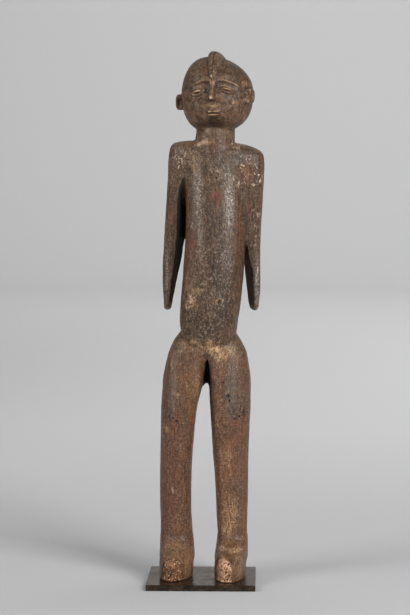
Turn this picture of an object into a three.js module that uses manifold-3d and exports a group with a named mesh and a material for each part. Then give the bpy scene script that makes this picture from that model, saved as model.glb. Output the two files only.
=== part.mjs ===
// Carved wooden figure standing on a thin steel plate.
// Millimetres, +Z up. The origin is the centre of the plate's underside, the plate's
// edges run along X and Y, and the figure faces -Y, with its head and feet turned a
// little towards -X. "Left" in the names below is the -X side.
import * as THREE from "three";
import { mergeVertices } from "three/addons/utils/BufferGeometryUtils.js";
import Module from "manifold-3d";

// ---------------------------------------------------------------- driving sizes
const PLATE = { width: 110, depth: 105, thickness: 6, edge: 0.5 };
const GAP = 0.3; // between the plate's top and the soles
const SOLE_Z = PLATE.thickness + GAP;

// Each table is a short set of stations up the carving.
// z height, cx cy centre, a half width, b half depth. A pair n gives the section's
// exponents on the left and on the right.
const TRUNK = {
  n: [2.75, 2.15],
  bellyDrop: 7.5, // the belly's lower edge hangs this far below the side notches
  stations: [
    { z: 249, cx: 7.0, cy: 7.0, a: 20.0, b: 18.0 },
    { z: 252, cx: 7.0, cy: 6.5, a: 26.0, b: 23.5 },
    { z: 259, cx: 7.0, cy: 6.0, a: 28.7, b: 26.5 },
    { z: 283, cx: 8.5, cy: 6.0, a: 30.6, b: 28.5 },
    { z: 307, cx: 10.7, cy: 7.0, a: 30.9, b: 28.2 },
    { z: 350, cx: 13.7, cy: 9.0, a: 30.7, b: 26.5 },
    { z: 387, cx: 14.3, cy: 10.0, a: 31.0, b: 25.5 },
    { z: 420, cx: 14.6, cy: 10.5, a: 32.0, b: 24.5 },
    { z: 440, cx: 14.5, cy: 10.5, a: 30.0, b: 20.0 },
  ],
};
const SHOULDERS = {
  n: 3.0,
  stations: [
    { z: 388, cx: 13.2, cy: 15.5, a: 38.0, b: 6.0 },
    { z: 398, cx: 13.4, cy: 14.5, a: 44.0, b: 11.0 },
    { z: 415, cx: 13.9, cy: 12.0, a: 48.6, b: 17.5 },
    { z: 428, cx: 14.5, cy: 11.0, a: 48.8, b: 21.5 },
    { z: 436, cx: 14.3, cy: 11.0, a: 48.3, b: 21.0 },
    { z: 440, cx: 13.2, cy: 11.0, a: 46.6, b: 19.5 },
    { z: 443.5, cx: 10.6, cy: 11.0, a: 43.2, b: 18.0 },
    { z: 447, cx: 6.6, cy: 11.0, a: 37.4, b: 16.5 },
    { z: 449.5, cx: 3.6, cy: 11.0, a: 30.0, b: 14.0 },
    { z: 452, cx: 9.0, cy: 11.0, a: 17.0, b: 10.0 },
  ],
};
// Arms: "out" is the outer face, w the width seen from the front, b half depth.
// The inner face slants: by the share "cut" of the half width it lies further out in
// front than at the back.
const ARMS = {
  n: 2.6,
  cutLeft: [
    { z: 279, cut: 0.72 }, { z: 354, cut: 0.72 }, { z: 357, cut: 0.98 }, { z: 387, cut: 0.8 },
    { z: 411, cut: 0.45 }, { z: 425, cut: 0.3 },
  ],
  cutRight: [
    { z: 279, cut: 0.9 }, { z: 318, cut: 0.9 }, { z: 336, cut: 0.6 }, { z: 354, cut: 0.25 },
    { z: 372, cut: 0 }, { z: 425, cut: 0 },
  ],
  left: [
    { z: 279.5, out: -37.5, w: 4, cy: 19.5, b: 3.5 },
    { z: 281.5, out: -39.2, w: 7.4, cy: 19.5, b: 6 },
    { z: 289, out: -39.2, w: 9, cy: 19.5, b: 8 },
    { z: 296, out: -40.2, w: 11.3, cy: 19.5, b: 9.5 },
    { z: 307, out: -40.8, w: 14.1, cy: 19.5, b: 11.5 },
    { z: 332, out: -40, w: 18.3, cy: 19, b: 14 },
    { z: 352, out: -39.2, w: 20.6, cy: 18, b: 15.5 },
    { z: 354, out: -39.1, w: 20.8, cy: 17.9, b: 15.6 },
    { z: 357, out: -38.9, w: 26, cy: 17.6, b: 15.7 },
    { z: 387, out: -37, w: 24.2, cy: 15.5, b: 17 },
    { z: 411, out: -35.5, w: 22, cy: 13, b: 18 },
    { z: 428, out: -34.5, w: 21, cy: 11.5, b: 18.5 },
    { z: 440, out: -31.5, w: 16, cy: 11, b: 13 },
  ],
  right: [
    { z: 279, out: 55.5, w: 4.6, cy: 20, b: 3.5 },
    { z: 281.5, out: 57.2, w: 8.8, cy: 20, b: 6 },
    { z: 289, out: 58.1, w: 12.2, cy: 20, b: 8.5 },
    { z: 296, out: 58.8, w: 13.8, cy: 20, b: 10 },
    { z: 307, out: 59.3, w: 15.8, cy: 20, b: 12 },
    { z: 326, out: 59.4, w: 17.6, cy: 19.5, b: 14 },
    { z: 352, out: 59.8, w: 19.4, cy: 18, b: 15.5 },
    { z: 387, out: 61.5, w: 21, cy: 15.5, b: 17 },
    { z: 411, out: 63, w: 22, cy: 13, b: 18.5 },
    { z: 426, out: 63.2, w: 21, cy: 12, b: 19 },
    { z: 436, out: 60, w: 16, cy: 12, b: 13 },
  ],
};
const LEGS = {
  nLeft: [2.2, 2.6],
  nRight: [2.9, 2.2],
  left: [
    { z: 24, cx: -26.0, cy: 17.5, a: 16.4, b: 20.0 },
    { z: 44, cx: -26.1, cy: 18.5, a: 16.2, b: 17.5 },
    { z: 72, cx: -27.4, cy: 18.0, a: 16.2, b: 17.8 },
    { z: 100, cx: -27.5, cy: 16.5, a: 16.2, b: 19.0 },
    { z: 134, cx: -26.2, cy: 14.5, a: 16.7, b: 20.8 },
    { z: 171, cx: -24.3, cy: 12.0, a: 18.2, b: 21.5 },
    { z: 196, cx: -21.1, cy: 12.5, a: 20.0, b: 24.0 },
    { z: 215, cx: -17.4, cy: 14.5, a: 22.1, b: 27.5 },
    { z: 233, cx: -13.6, cy: 15.0, a: 21.8, b: 28.0 },
    { z: 246, cx: -10.4, cy: 13.5, a: 19.5, b: 25.0 },
    { z: 254, cx: -8.5, cy: 12.0, a: 16.0, b: 20.0 },
    { z: 261, cx: -7.0, cy: 10.0, a: 10.0, b: 13.0 },
  ],
  right: [
    { z: 24, cx: 29.8, cy: 16.5, a: 15.5, b: 20.5 },
    { z: 44, cx: 30.5, cy: 17.5, a: 15.5, b: 17.5 },
    { z: 72, cx: 30.6, cy: 17.5, a: 16.2, b: 17.8 },
    { z: 100, cx: 30.0, cy: 16.0, a: 16.9, b: 19.0 },
    { z: 134, cx: 29.1, cy: 14.0, a: 18.5, b: 21.0 },
    { z: 171, cx: 29.0, cy: 12.0, a: 20.3, b: 22.0 },
    { z: 196, cx: 28.4, cy: 12.5, a: 21.6, b: 24.5 },
    { z: 215, cx: 26.2, cy: 14.5, a: 22.9, b: 28.0 },
    { z: 233, cx: 23.3, cy: 15.0, a: 22.5, b: 28.0 },
    { z: 246, cx: 20.4, cy: 13.5, a: 19.8, b: 25.0 },
    { z: 254, cx: 18.5, cy: 12.0, a: 16.8, b: 20.0 },
    { z: 261, cx: 17.0, cy: 10.0, a: 10.0, b: 13.0 },
  ],
};
// Groin: the web of wood that joins the thighs behind the front groove.
const GROIN = {
  n: 2.2,
  stations: [
    { z: 202, cx: 3.6, cy: 20.0, a: 5.0, b: 6.0 },
    { z: 210, cx: 3.9, cy: 19.0, a: 8.5, b: 9.0 },
    { z: 222, cx: 4.8, cy: 16.0, a: 13.0, b: 15.0 },
    { z: 229, cx: 5.6, cy: 12.0, a: 15.0, b: 18.0 },
    { z: 238, cx: 6.5, cy: 9.5, a: 18.0, b: 20.5 },
    { z: 256, cx: 7.0, cy: 7.0, a: 24.0, b: 21.0 },
  ],
};
// The cut between the thighs above the open gap, which gets narrower backwards.
const CROTCH = {
  n: 3.0,
  narrowing: 0.65,
  stations: [
    { z: 176, cx: 4.6, cy: 2.0, a: 0.6, b: 22.0 },
    { z: 188, cx: 4.6, cy: 2.0, a: 6.4, b: 22.0 },
    { z: 199, cx: 4.8, cy: 2.0, a: 6.4, b: 22.0 },
    { z: 206, cx: 4.9, cy: 2.0, a: 5.8, b: 22.0 },
    { z: 216, cx: 5.2, cy: 2.0, a: 4.2, b: 22.0 },
    { z: 225, cx: 5.6, cy: 2.0, a: 1.9, b: 22.0 },
    { z: 230, cx: 5.9, cy: 2.0, a: 0.4, b: 22.0 },
  ],
};
// Feet: length b each way from cy, "front" is the width of the broken toes over the
// heel's width, "lean" shifts the toes sideways per millimetre forwards.
const FEET = {
  n: 3.2,
  left: {
    front: 0.5,
    lean: 0.13,
    stations: [
      { z: 0.0, cx: -26.0, cy: 2.0, a: 16.2, b: 38.0 },
      { z: 10.0, cx: -25.8, cy: 2.2, a: 16.9, b: 38.0 },
      { z: 17.0, cx: -25.8, cy: 3.0, a: 16.7, b: 36.8 },
      { z: 23.0, cx: -25.9, cy: 6.5, a: 16.4, b: 32.5 },
      { z: 28.5, cx: -26.0, cy: 12.5, a: 15.8, b: 24.0 },
      { z: 37.0, cx: -26.0, cy: 17.5, a: 14.0, b: 16.0 },
    ],
  },
  right: {
    front: 0.72,
    lean: 0.05,
    stations: [
      { z: 0.0, cx: 29.0, cy: 0.5, a: 15.6, b: 40.5 },
      { z: 10.0, cx: 29.2, cy: 0.5, a: 16.0, b: 40.0 },
      { z: 17.0, cx: 29.5, cy: 1.5, a: 15.9, b: 38.5 },
      { z: 23.0, cx: 29.8, cy: 4.5, a: 15.6, b: 34.5 },
      { z: 28.5, cx: 30.0, cy: 11.5, a: 15.0, b: 25.0 },
      { z: 37.0, cx: 30.3, cy: 16.5, a: 13.4, b: 16.0 },
    ],
  },
};
const NECK = { x: 13.8, y: 7.5, halfWidth: 19.6, halfDepth: 19.0, z0: 438, z1: 478, flare: 1.2 };
const HEAD = {
  x: 15.6, y: 3.0, z: 499.0,
  halfWidth: 36.3, halfDepth: 38.0, up: 37.0, down: 39.8, jaw: 2.45,
  yaw: 9, // degrees towards -X
  crownLean: 0.0065, // the crown leans to -X by this much times its height squared
  jawLean: 0.004, // and so does the jaw, by its depth squared
};
// The wood is cut away under the chin: height of the cut in front, its slope backwards
// and how much it drops towards the jaws.
const CHIN = { height: -25.3, front: 33, slope: 0.45, arch: 0.026, middle: 1.5 };
// Crest: z is the turn over the head, 0 at the face and 90 on the crown.
const CREST = [
  { z: 18, half: 2.4, rise: 0.4, shift: 1.5 },
  { z: 26, half: 3.7, rise: 1.6, shift: 2.0 },
  { z: 45, half: 5.7, rise: 2.5, shift: 3.4 },
  { z: 54, half: 7.0, rise: 3.6, shift: 5.0 },
  { z: 65, half: 7.4, rise: 4.6, shift: 5.6 },
  { z: 90, half: 7.3, rise: 5.8, shift: 6.2 },
  { z: 105, half: 7.0, rise: 5.2, shift: 5.2 },
  { z: 120, half: 6.4, rise: 3.9, shift: 3.4 },
  { z: 135, half: 5.2, rise: 2.1, shift: 1.8 },
  { z: 150, half: 3.5, rise: 0.4, shift: 0.0 },
];
const EAR_LEFT = { reach: 5.2, height: 16.0, thick: 8.4, z: -8.8, front: 0.8 };
const EAR_RIGHT = { lon: 74, lat: -5.0, halfLength: 13.0, halfHeight: 8.5, rise: 1.5 };
const BROW = { radius: 1.1 };
const NOSE = { lon: 2.2, top: 17.0, tip: -10.8, width: 5.2, rise: 5.6, bridge: 7.0 };
const EYE = { lonLeft: -22.5, latLeft: 0.2, lonRight: 25.8, latRight: 3.2, halfWidth: 6.0, halfHeight: 2.8, rise: 1.2 };
const LIPS = { lat: -31.3, lon: 2.5, halfWidth: 6.0, gap: 2.2, thick: 1.2 };

const WOOD = new THREE.MeshStandardMaterial({ color: 0x6b5242, roughness: 0.6, metalness: 0 });
const STEEL = new THREE.MeshStandardMaterial({ color: 0x5a514b, roughness: 0.45, metalness: 0.7 });

// ---------------------------------------------------------------- helpers
const wasm = await Module();
wasm.setup();

const rad = (d) => (d * Math.PI) / 180;
const bend = (c, n) => Math.sign(c) * Math.pow(Math.abs(c), 2 / n);

// Smooth value of every field between the stations (cubic, monotone per field).
function along(stations, z) {
  const last = stations.length - 1;
  let i = 0;
  while (i < last - 1 && z > stations[i + 1].z) i++;
  const p = stations[i], q = stations[i + 1];
  const h = q.z - p.z;
  const t = Math.min(1, Math.max(0, (z - p.z) / h));
  const out = {};
  for (const key of Object.keys(p)) {
    const slope = (k) => {
      if (k <= 0 || k >= last) return 0;
      const d0 = (stations[k][key] - stations[k - 1][key]) / (stations[k].z - stations[k - 1].z);
      const d1 = (stations[k + 1][key] - stations[k][key]) / (stations[k + 1].z - stations[k].z);
      return d0 * d1 <= 0 ? 0 : (2 * d0 * d1) / (d0 + d1);
    };
    const end = (q[key] - p[key]) / h;
    const m0 = (i === 0 ? end : slope(i)) * h;
    const m1 = (i + 1 === last ? end : slope(i + 1)) * h;
    const t2 = t * t, t3 = t2 * t;
    out[key] =
      (2 * t3 - 3 * t2 + 1) * p[key] + (t3 - 2 * t2 + t) * m0 +
      (-2 * t3 + 3 * t2) * q[key] + (t3 - t2) * m1;
  }
  return out;
}

// Ring heights: every station, and even steps between them no longer than "step".
function ringHeights(stations, step) {
  const list = [];
  for (let i = 0; i < stations.length - 1; i++) {
    const z0 = stations[i].z, z1 = stations[i + 1].z;
    const n = Math.max(1, Math.round((z1 - z0) / step));
    for (let k = 0; k < n; k++) list.push(z0 + ((z1 - z0) * k) / n);
  }
  list.push(stations[stations.length - 1].z);
  return list;
}

function solid(geometry) {
  const g = geometry.clone();
  for (const name of Object.keys(g.attributes)) if (name !== "position") g.deleteAttribute(name);
  const merged = mergeVertices(g, 1e-4);
  return new wasm.Manifold(new wasm.Mesh({
    numProp: 3,
    vertProperties: new Float32Array(merged.attributes.position.array),
    triVerts: new Uint32Array(merged.index.array),
  }));
}

// A closed skin: a cylinder whose rings are sent to place(ring, cos, sin, r).
// The cylinder's axis is turned from Y to Z first, so the faces keep pointing out.
function skin(rings, segments, place) {
  const g = new THREE.CylinderGeometry(1, 1, rings - 1, segments, rings - 1);
  const p = g.attributes.position;
  for (let i = 0; i < p.count; i++) {
    const x = p.getX(i), y = -p.getZ(i);
    const ring = Math.round(p.getY(i) + (rings - 1) / 2);
    const r = Math.hypot(x, y);
    const c = r > 1e-6 ? x / r : 1, s = r > 1e-6 ? y / r : 0;
    const v = place(ring, Math.abs(c) < 1e-9 ? 0 : c, Math.abs(s) < 1e-9 ? 0 : s, r > 0.5 ? 1 : 0);
    p.setXYZ(i, v[0], v[1], v[2]);
  }
  return solid(g);
}

// Rounded column through stations, with a superellipse section.
function column(stations, n, segments, step, shape = (x, y, z) => [x, y, z]) {
  const zs = ringHeights(stations, step);
  return skin(zs.length, segments, (ring, c, s, r) => {
    const f = along(stations, zs[ring]);
    const k = Array.isArray(n) ? n[c < 0 ? 0 : 1] : n;
    return shape(f.cx + r * f.a * bend(c, k), f.cy + r * f.b * bend(s, k), zs[ring], f);
  });
}

function ellipsoid(rx, ry, rz, segments = 16, bands = 10) {
  const g = new THREE.SphereGeometry(1, segments, bands);
  g.rotateX(Math.PI / 2);
  g.scale(rx, ry, rz);
  return g;
}

// ---------------------------------------------------------------- trunk, arms, legs
function trunk() {
  const { stations, n, bellyDrop } = TRUNK;
  const reach = 30;
  return column(stations, n, 36, 24, (x, y, z, f) => {
    // The belly hangs over the thighs in front and fades out up the trunk.
    const forward = Math.max(0, (f.cy - y) / f.b);
    const low = Math.max(0, 1 - (z - stations[0].z) / reach);
    return [x, y, z - bellyDrop * forward * low * low];
  });
}

function shoulders() {
  return column(SHOULDERS.stations, SHOULDERS.n, 36, 20);
}

function arm(stations, cuts, side) {
  const columns = stations.map((s) => ({ z: s.z, cx: s.out - (side * s.w) / 2, cy: s.cy, a: s.w / 2, b: s.b }));
  return column(columns, ARMS.n, 24, 18, (x, y, z, f) => {
    const { cut } = along(cuts, z);
    const forward = (f.cy - y) / f.b;
    const least = -f.a * (1 - cut * (0.5 + 0.5 * forward));
    return [f.cx + side * Math.max(side * (x - f.cx), least), y, z];
  });
}

const legs = () => column(LEGS.left, LEGS.nLeft, 26, 22).add(column(LEGS.right, LEGS.nRight, 26, 22));
const groin = () => column(GROIN.stations, GROIN.n, 24, 14);
const crotch = () =>
  column(CROTCH.stations, CROTCH.n, 12, 14, (x, y, z, f) => [
    f.cx + (x - f.cx) * (0.8 - (CROTCH.narrowing * (y - f.cy)) / f.b), y, z,
  ]);

function foot(f, side) {
  const stations = f.stations.map((s) => ({ ...s, z: s.z + SOLE_Z }));
  return column(stations, FEET.n, 28, 12, (x, y, z, g) => {
    const forward = Math.max(0, -y / 38);
    const narrow = 1 - (1 - f.front) * forward * forward;
    return [g.cx + (x - g.cx) * narrow - f.lean * Math.max(0, -y), y, z];
  });
}

const neck = () =>
  skin(5, 28, (ring, c, s, r) => {
    const t = ring / 4;
    const k = 1 + (NECK.flare / NECK.halfWidth) * Math.pow(Math.abs(2 * t - 1), 2);
    return [
      NECK.x + r * NECK.halfWidth * k * c,
      NECK.y + r * NECK.halfDepth * k * s,
      NECK.z0 + (NECK.z1 - NECK.z0) * t,
    ];
  });

// ---------------------------------------------------------------- head
// Head coordinates: lon turns from the face towards +X, lat up, lift above the skin.
function skullRadius(lon, lat) {
  const cl = Math.cos(rad(lat)), sl = Math.sin(rad(lat));
  const cx = (cl * Math.sin(rad(lon))) / HEAD.halfWidth, cy = (cl * Math.cos(rad(lon))) / HEAD.halfDepth;
  const flat = Math.hypot(cx, cy);
  if (sl >= 0) return 1 / Math.hypot(flat, sl / HEAD.up);
  const n = HEAD.jaw, tall = Math.abs(sl) / HEAD.down;
  return 1 / Math.pow(Math.pow(flat, n) + Math.pow(tall, n), 1 / n);
}
function onHead(lon, lat, lift = 0) {
  const r = skullRadius(lon, lat) + lift;
  const cl = Math.cos(rad(lat));
  return new THREE.Vector3(
    r * cl * Math.sin(rad(lon)), -r * cl * Math.cos(rad(lon)), r * Math.sin(rad(lat)),
  );
}
const headTurn = new THREE.Matrix4()
  .makeTranslation(HEAD.x, HEAD.y, HEAD.z)
  .multiply(new THREE.Matrix4().makeRotationZ(rad(-HEAD.yaw)));
const placed = (v) => {
  const w = v.clone().applyMatrix4(headTurn);
  const high = Math.max(0, v.z - 6), low = Math.max(0, -14 - v.z);
  w.x -= HEAD.crownLean * high * high + HEAD.jawLean * low * low;
  return w.toArray();
};

function skull() {
  const g = new THREE.SphereGeometry(1, 32, 18);
  g.rotateX(Math.PI / 2);
  const p = g.attributes.position;
  for (let i = 0; i < p.count; i++) {
    const x = p.getX(i), y = p.getY(i), z = p.getZ(i);
    const pole = Math.hypot(x, y) < 1e-6;
    const lon = pole ? 0 : (Math.atan2(x, -y) * 180) / Math.PI;
    const lat = pole ? 90 * Math.sign(z) : (Math.asin(Math.max(-1, Math.min(1, z))) * 180) / Math.PI;
    p.setXYZ(i, ...placed(onHead(lon, lat)));
  }
  return solid(g);
}

// A ridge that follows a line on the head: line(t) gives lon, lat, half width, rise
// and, for the crest, a shift to one side.
function ridge(rings, segments, line, sink = 1.5) {
  const at = (t) => onHead(line(t).lon, line(t).lat);
  return skin(rings, segments, (ring, c, s, r) => {
    const t = ring / (rings - 1);
    const f = line(t);
    const here = at(t);
    const ahead = at(Math.min(1, t + 0.01)).sub(at(Math.max(0, t - 0.01))).normalize();
    const up = here.clone().normalize();
    up.addScaledVector(ahead, -up.dot(ahead)).normalize();
    const across = new THREE.Vector3().crossVectors(up, ahead).normalize();
    const high = s > 0 ? f.rise : sink;
    const v = here.clone()
      .addScaledVector(across, r * f.half * c - (f.shift ?? 0))
      .addScaledVector(up, r * high * s);
    return placed(v);
  });
}

// Wood missing under the chin, as a wedge that reaches across the whole head.
function chinCut() {
  const { height, front, slope, arch, middle } = CHIN;
  const wide = 44, near = 58, far = -12, low = -70;
  const line = (f) => height - (front - f) * slope;
  const outline = new THREE.Shape([
    new THREE.Vector2(far, low), new THREE.Vector2(near, low),
    new THREE.Vector2(near, line(near)), new THREE.Vector2(far, line(far)),
  ]);
  const g = new THREE.ExtrudeGeometry(outline, { depth: 2 * wide, steps: 12, bevelEnabled: false });
  const p = g.attributes.position;
  for (let i = 0; i < p.count; i++) {
    const u = wide - p.getZ(i);
    p.setXYZ(i, ...placed(new THREE.Vector3(u, -p.getX(i), p.getY(i) - arch * (u - middle) ** 2)));
  }
  return solid(g);
}

// The crest runs over the crown: a broad lump on top that narrows down the forehead.
function crest() {
  const first = CREST[0].z, last = CREST[CREST.length - 1].z;
  return ridge(16, 12, (t) => {
    const turn = first + (last - first) * t;
    const f = along(CREST, turn);
    const over = turn > 90;
    return { lon: over ? 180 : 0, lat: over ? 180 - turn : turn, ...f };
  }, 3);
}

function earLeft() {
  // A small upright block, rounded above and below, hollowed by its own C shape.
  const { reach, height, thick, z, front } = EAR_LEFT;
  const outline = new THREE.Shape();
  const h = height / 2, deep = reach + 9;
  outline.moveTo(0, -h);
  outline.lineTo(-deep * 0.72, -h);
  outline.quadraticCurveTo(-deep, -h, -deep, -h * 0.45);
  outline.lineTo(-deep, h * 0.6);
  outline.quadraticCurveTo(-deep, h, -deep * 0.78, h);
  outline.lineTo(0, h);
  outline.closePath();
  const g = new THREE.ExtrudeGeometry(outline, {
    depth: thick - 3, bevelEnabled: true, bevelThickness: 1.5, bevelSize: 1.2, bevelSegments: 1,
    bevelOffset: -1.2, curveSegments: 4,
  });
  // The outline lies in X and Z, the thickness runs backwards.
  g.rotateX(Math.PI / 2);
  g.translate(-HEAD.halfWidth + 9, -front + 1.5, z);
  g.applyMatrix4(headTurn);
  return solid(g);
}

function earRight() {
  const { lon, lat, halfLength, halfHeight, rise } = EAR_RIGHT;
  const g = ellipsoid(halfLength, 6, halfHeight, 16, 10);
  g.rotateZ(rad(lon));
  const at = onHead(lon, lat, rise - 6);
  g.translate(at.x, at.y, at.z);
  g.applyMatrix4(headTurn);
  return solid(g);
}

function brows() {
  const left = ridge(7, 8, (t) => ({
    lon: -40 + 34 * t, lat: 7 + 11.5 * Math.sin((t * Math.PI) / 2), half: 1.2, rise: BROW.radius,
  }));
  const right = ridge(7, 8, (t) => ({
    lon: 1 + 45 * t, lat: 18.5 - 9.5 * t ** 3, half: 1.2, rise: BROW.radius,
  }));
  return left.add(right);
}

function nose() {
  // A narrow wedge, broad at the bridge, highest at the tip, cut off flat below.
  const { lon, top, tip, width, rise, bridge } = NOSE;
  return ridge(6, 8, (t) => {
    const lat = tip + (top - tip) * t;
    return {
      lon,
      lat,
      half: (width + (bridge - width) * t * t) / 2,
      rise: rise * (1 - t) + 1.2 * t,
    };
  }, 2);
}

function eyes() {
  const make = (lon, lat) => {
    const { halfWidth, halfHeight, rise } = EYE;
    const g = ellipsoid(halfWidth, 3, halfHeight, 14, 8);
    g.rotateZ(rad(lon));
    const at = onHead(lon, lat, rise - 3);
    g.translate(at.x, at.y, at.z);
    g.applyMatrix4(headTurn);
    return solid(g);
  };
  return make(EYE.lonLeft, EYE.latLeft).add(make(EYE.lonRight, EYE.latRight));
}

function lips() {
  const { lat, lon, halfWidth, gap, thick } = LIPS;
  let both = null;
  for (const k of [-1, 1]) {
    const g = ellipsoid(halfWidth, 3.2, thick, 12, 6);
    g.rotateZ(rad(lon));
    const at = onHead(lon, lat + k * gap, -1.4);
    g.translate(at.x, at.y, at.z);
    g.applyMatrix4(headTurn);
    both = both ? both.add(solid(g)) : solid(g);
  }
  return both;
}

// ---------------------------------------------------------------- assembly
function figureSolid() {
  const parts = [
    trunk(), shoulders(),
    arm(ARMS.left, ARMS.cutLeft, -1), arm(ARMS.right, ARMS.cutRight, 1),
    legs().add(groin()).subtract(crotch()),
    foot(FEET.left, -1), foot(FEET.right, 1),
    neck(), skull().subtract(chinCut()), crest(), earLeft(), earRight(),
    brows(), nose(), eyes(), lips(),
  ];
  return parts.reduce((whole, part) => whole.add(part));
}

function meshOf(name, manifold, material) {
  const m = manifold.getMesh();
  const g = new THREE.BufferGeometry();
  const position = new Float32Array(m.numVert * 3);
  for (let i = 0; i < m.numVert; i++)
    for (let k = 0; k < 3; k++) position[3 * i + k] = m.vertProperties[m.numProp * i + k];
  g.setAttribute("position", new THREE.BufferAttribute(position, 3));
  g.setIndex(new THREE.BufferAttribute(new Uint32Array(m.triVerts), 1));
  const mesh = new THREE.Mesh(g, material);
  mesh.name = name;
  return mesh;
}

function plateGeometry() {
  // Flat steel bar with slightly eased edges.
  const { width, depth, thickness, edge } = PLATE;
  const w = width / 2, d = depth / 2;
  const outline = new THREE.Shape([
    new THREE.Vector2(-w, -d), new THREE.Vector2(w, -d),
    new THREE.Vector2(w, d), new THREE.Vector2(-w, d),
  ]);
  const g = new THREE.ExtrudeGeometry(outline, {
    depth: thickness - 2 * edge, bevelEnabled: true, bevelThickness: edge, bevelSize: edge,
    bevelOffset: -edge, bevelSegments: 1, curveSegments: 1,
  });
  g.translate(0, 0, edge);
  for (const name of ["normal", "uv"]) g.deleteAttribute(name);
  return mergeVertices(g, 1e-4);
}

const object = new THREE.Group();
object.name = "lobi_bateba_figure";
object.add(meshOf("figure", figureSolid(), WOOD));
const plate = new THREE.Mesh(plateGeometry(), STEEL);
plate.name = "base_plate";
object.add(plate);

export default object;
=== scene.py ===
"""Looks of the carved wooden figure on its steel plate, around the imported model.

The carving's surface is worked out as one field from the same named sizes as the solids:
columns with superellipse sections, joined softly, and a head whose features are relief on
a rounded skull. The field is meshed, worn and pitted, and coloured by procedural nodes.
"""

import math

import bpy
import numpy as np
import openvdb
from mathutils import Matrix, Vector


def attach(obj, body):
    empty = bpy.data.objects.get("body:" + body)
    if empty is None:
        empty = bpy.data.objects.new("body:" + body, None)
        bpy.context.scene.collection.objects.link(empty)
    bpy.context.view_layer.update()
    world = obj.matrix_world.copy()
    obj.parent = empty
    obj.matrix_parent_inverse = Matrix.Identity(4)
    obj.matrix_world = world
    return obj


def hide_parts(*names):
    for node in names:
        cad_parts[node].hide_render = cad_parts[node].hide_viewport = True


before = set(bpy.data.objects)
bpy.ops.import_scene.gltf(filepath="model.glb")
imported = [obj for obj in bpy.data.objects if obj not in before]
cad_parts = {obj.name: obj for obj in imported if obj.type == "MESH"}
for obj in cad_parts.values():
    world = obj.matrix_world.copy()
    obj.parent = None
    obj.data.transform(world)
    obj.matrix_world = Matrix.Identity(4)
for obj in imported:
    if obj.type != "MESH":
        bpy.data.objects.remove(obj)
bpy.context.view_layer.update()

MM = 0.001
F32 = np.float32
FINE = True

# ------------------------------------------------------------------ sizes (mm)
PLATE_TOP = 6.0
SOLE = PLATE_TOP + 0.06

# z height, cx cy centre, a half width, b half depth
TRUNK = [
    (249, 7.0, 7.0, 20.0, 18.0),
    (252, 7.0, 6.5, 26.0, 23.5),
    (259, 7.0, 6.0, 28.7, 26.5),
    (283, 8.5, 6.0, 30.6, 28.5),
    (307, 10.7, 7.0, 30.9, 28.2),
    (350, 13.7, 9.0, 30.7, 26.5),
    (387, 14.3, 10.0, 31.0, 25.5),
    (420, 14.6, 10.5, 32.0, 24.5),
    (440, 14.5, 10.5, 30.0, 20.0),
]
TRUNK_LEFT, TRUNK_RIGHT = 2.75, 2.15
BELLY_DROP, BELLY_REACH = 7.5, 30.0
SHOULDERS = [
    (388, 13.2, 15.5, 38.0, 6.0),
    (398, 13.4, 14.5, 44.0, 11.0),
    (415, 13.9, 12.0, 48.6, 17.5),
    (428, 14.5, 11.0, 48.8, 21.5),
    (436, 14.3, 11.0, 48.3, 21.0),
    (440, 13.2, 11.0, 46.6, 19.5),
    (443.5, 10.6, 11.0, 43.2, 18.0),
    (447, 6.6, 11.0, 37.4, 16.5),
    (449.5, 3.6, 11.0, 30.0, 14.0),
    (452, 9.0, 11.0, 17.0, 10.0),
]
# z, outer face, width from the front, centre y, half depth
ARM_LEFT = [
    (278.0, -37.5, 4.0, 19.5, 3.5),
    (280.2, -39.4, 8.0, 19.5, 6.0),
    (289, -39.7, 10.1, 19.5, 8.0),
    (296, -40.3, 12.4, 19.5, 9.5),
    (307, -40.8, 15.3, 19.5, 11.5),
    (332, -40.0, 20.0, 19.0, 14.0),
    (350, -39.2, 22.6, 18.0, 15.5),
    (353, -39.1, 26.4, 17.9, 15.6),
    (387, -37.0, 24.2, 15.5, 17.0),
    (411, -35.5, 22.0, 13.0, 18.0),
    (428, -34.5, 21.0, 11.5, 18.5),
    (440, -31.5, 16.0, 11, 13.0),
]
ARM_RIGHT = [
    (277.5, 55.7, 5.6, 20, 3.5),
    (280.2, 57.8, 10.8, 20, 6.0),
    (289, 58.6, 13.6, 20, 8.5),
    (296, 59.1, 15.0, 20, 10.0),
    (307, 59.4, 16.9, 20, 12.0),
    (326, 59.4, 18.4, 19.5, 14.0),
    (352, 59.8, 19.4, 18.0, 15.5),
    (387, 61.5, 21.0, 15.5, 17.0),
    (411, 63.0, 22.0, 13, 18.5),
    (426, 63.2, 21.0, 12, 19.0),
    (436, 60.0, 16.0, 12, 13.0),
]
# z, share of the half width that the inner side loses from back to front
SLANT_LEFT = [(279, 0.7), (300, 0.66), (350, 0.78), (353, 0.95), (387, 0.94), (398, 0.86), (411, 0.55), (425, 0.3)]
SLANT_RIGHT = [(279, 1.05), (318, 1.05), (336, 0.65), (354, 0.25), (372, 0.0), (425, 0.0)]
LEG_LEFT = [
    (24, -26.0, 17.5, 16.4, 20.0),
    (44, -26.5, 18.5, 16.5, 17.5),
    (72, -27.4, 18.0, 16.2, 17.8),
    (100, -27.5, 16.5, 16.2, 19.0),
    (134, -26.2, 14.5, 16.7, 20.8),
    (171, -24.3, 12.0, 18.2, 21.5),
    (196, -21.1, 12.5, 20.0, 24.0),
    (215, -17.4, 14.5, 22.1, 27.5),
    (233, -13.6, 15.0, 21.8, 28.0),
    (246, -10.4, 13.5, 19.5, 25.0),
    (254, -8.5, 12.0, 16.0, 20.0),
    (261, -7.0, 10.0, 10.0, 13.0),
]
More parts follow.
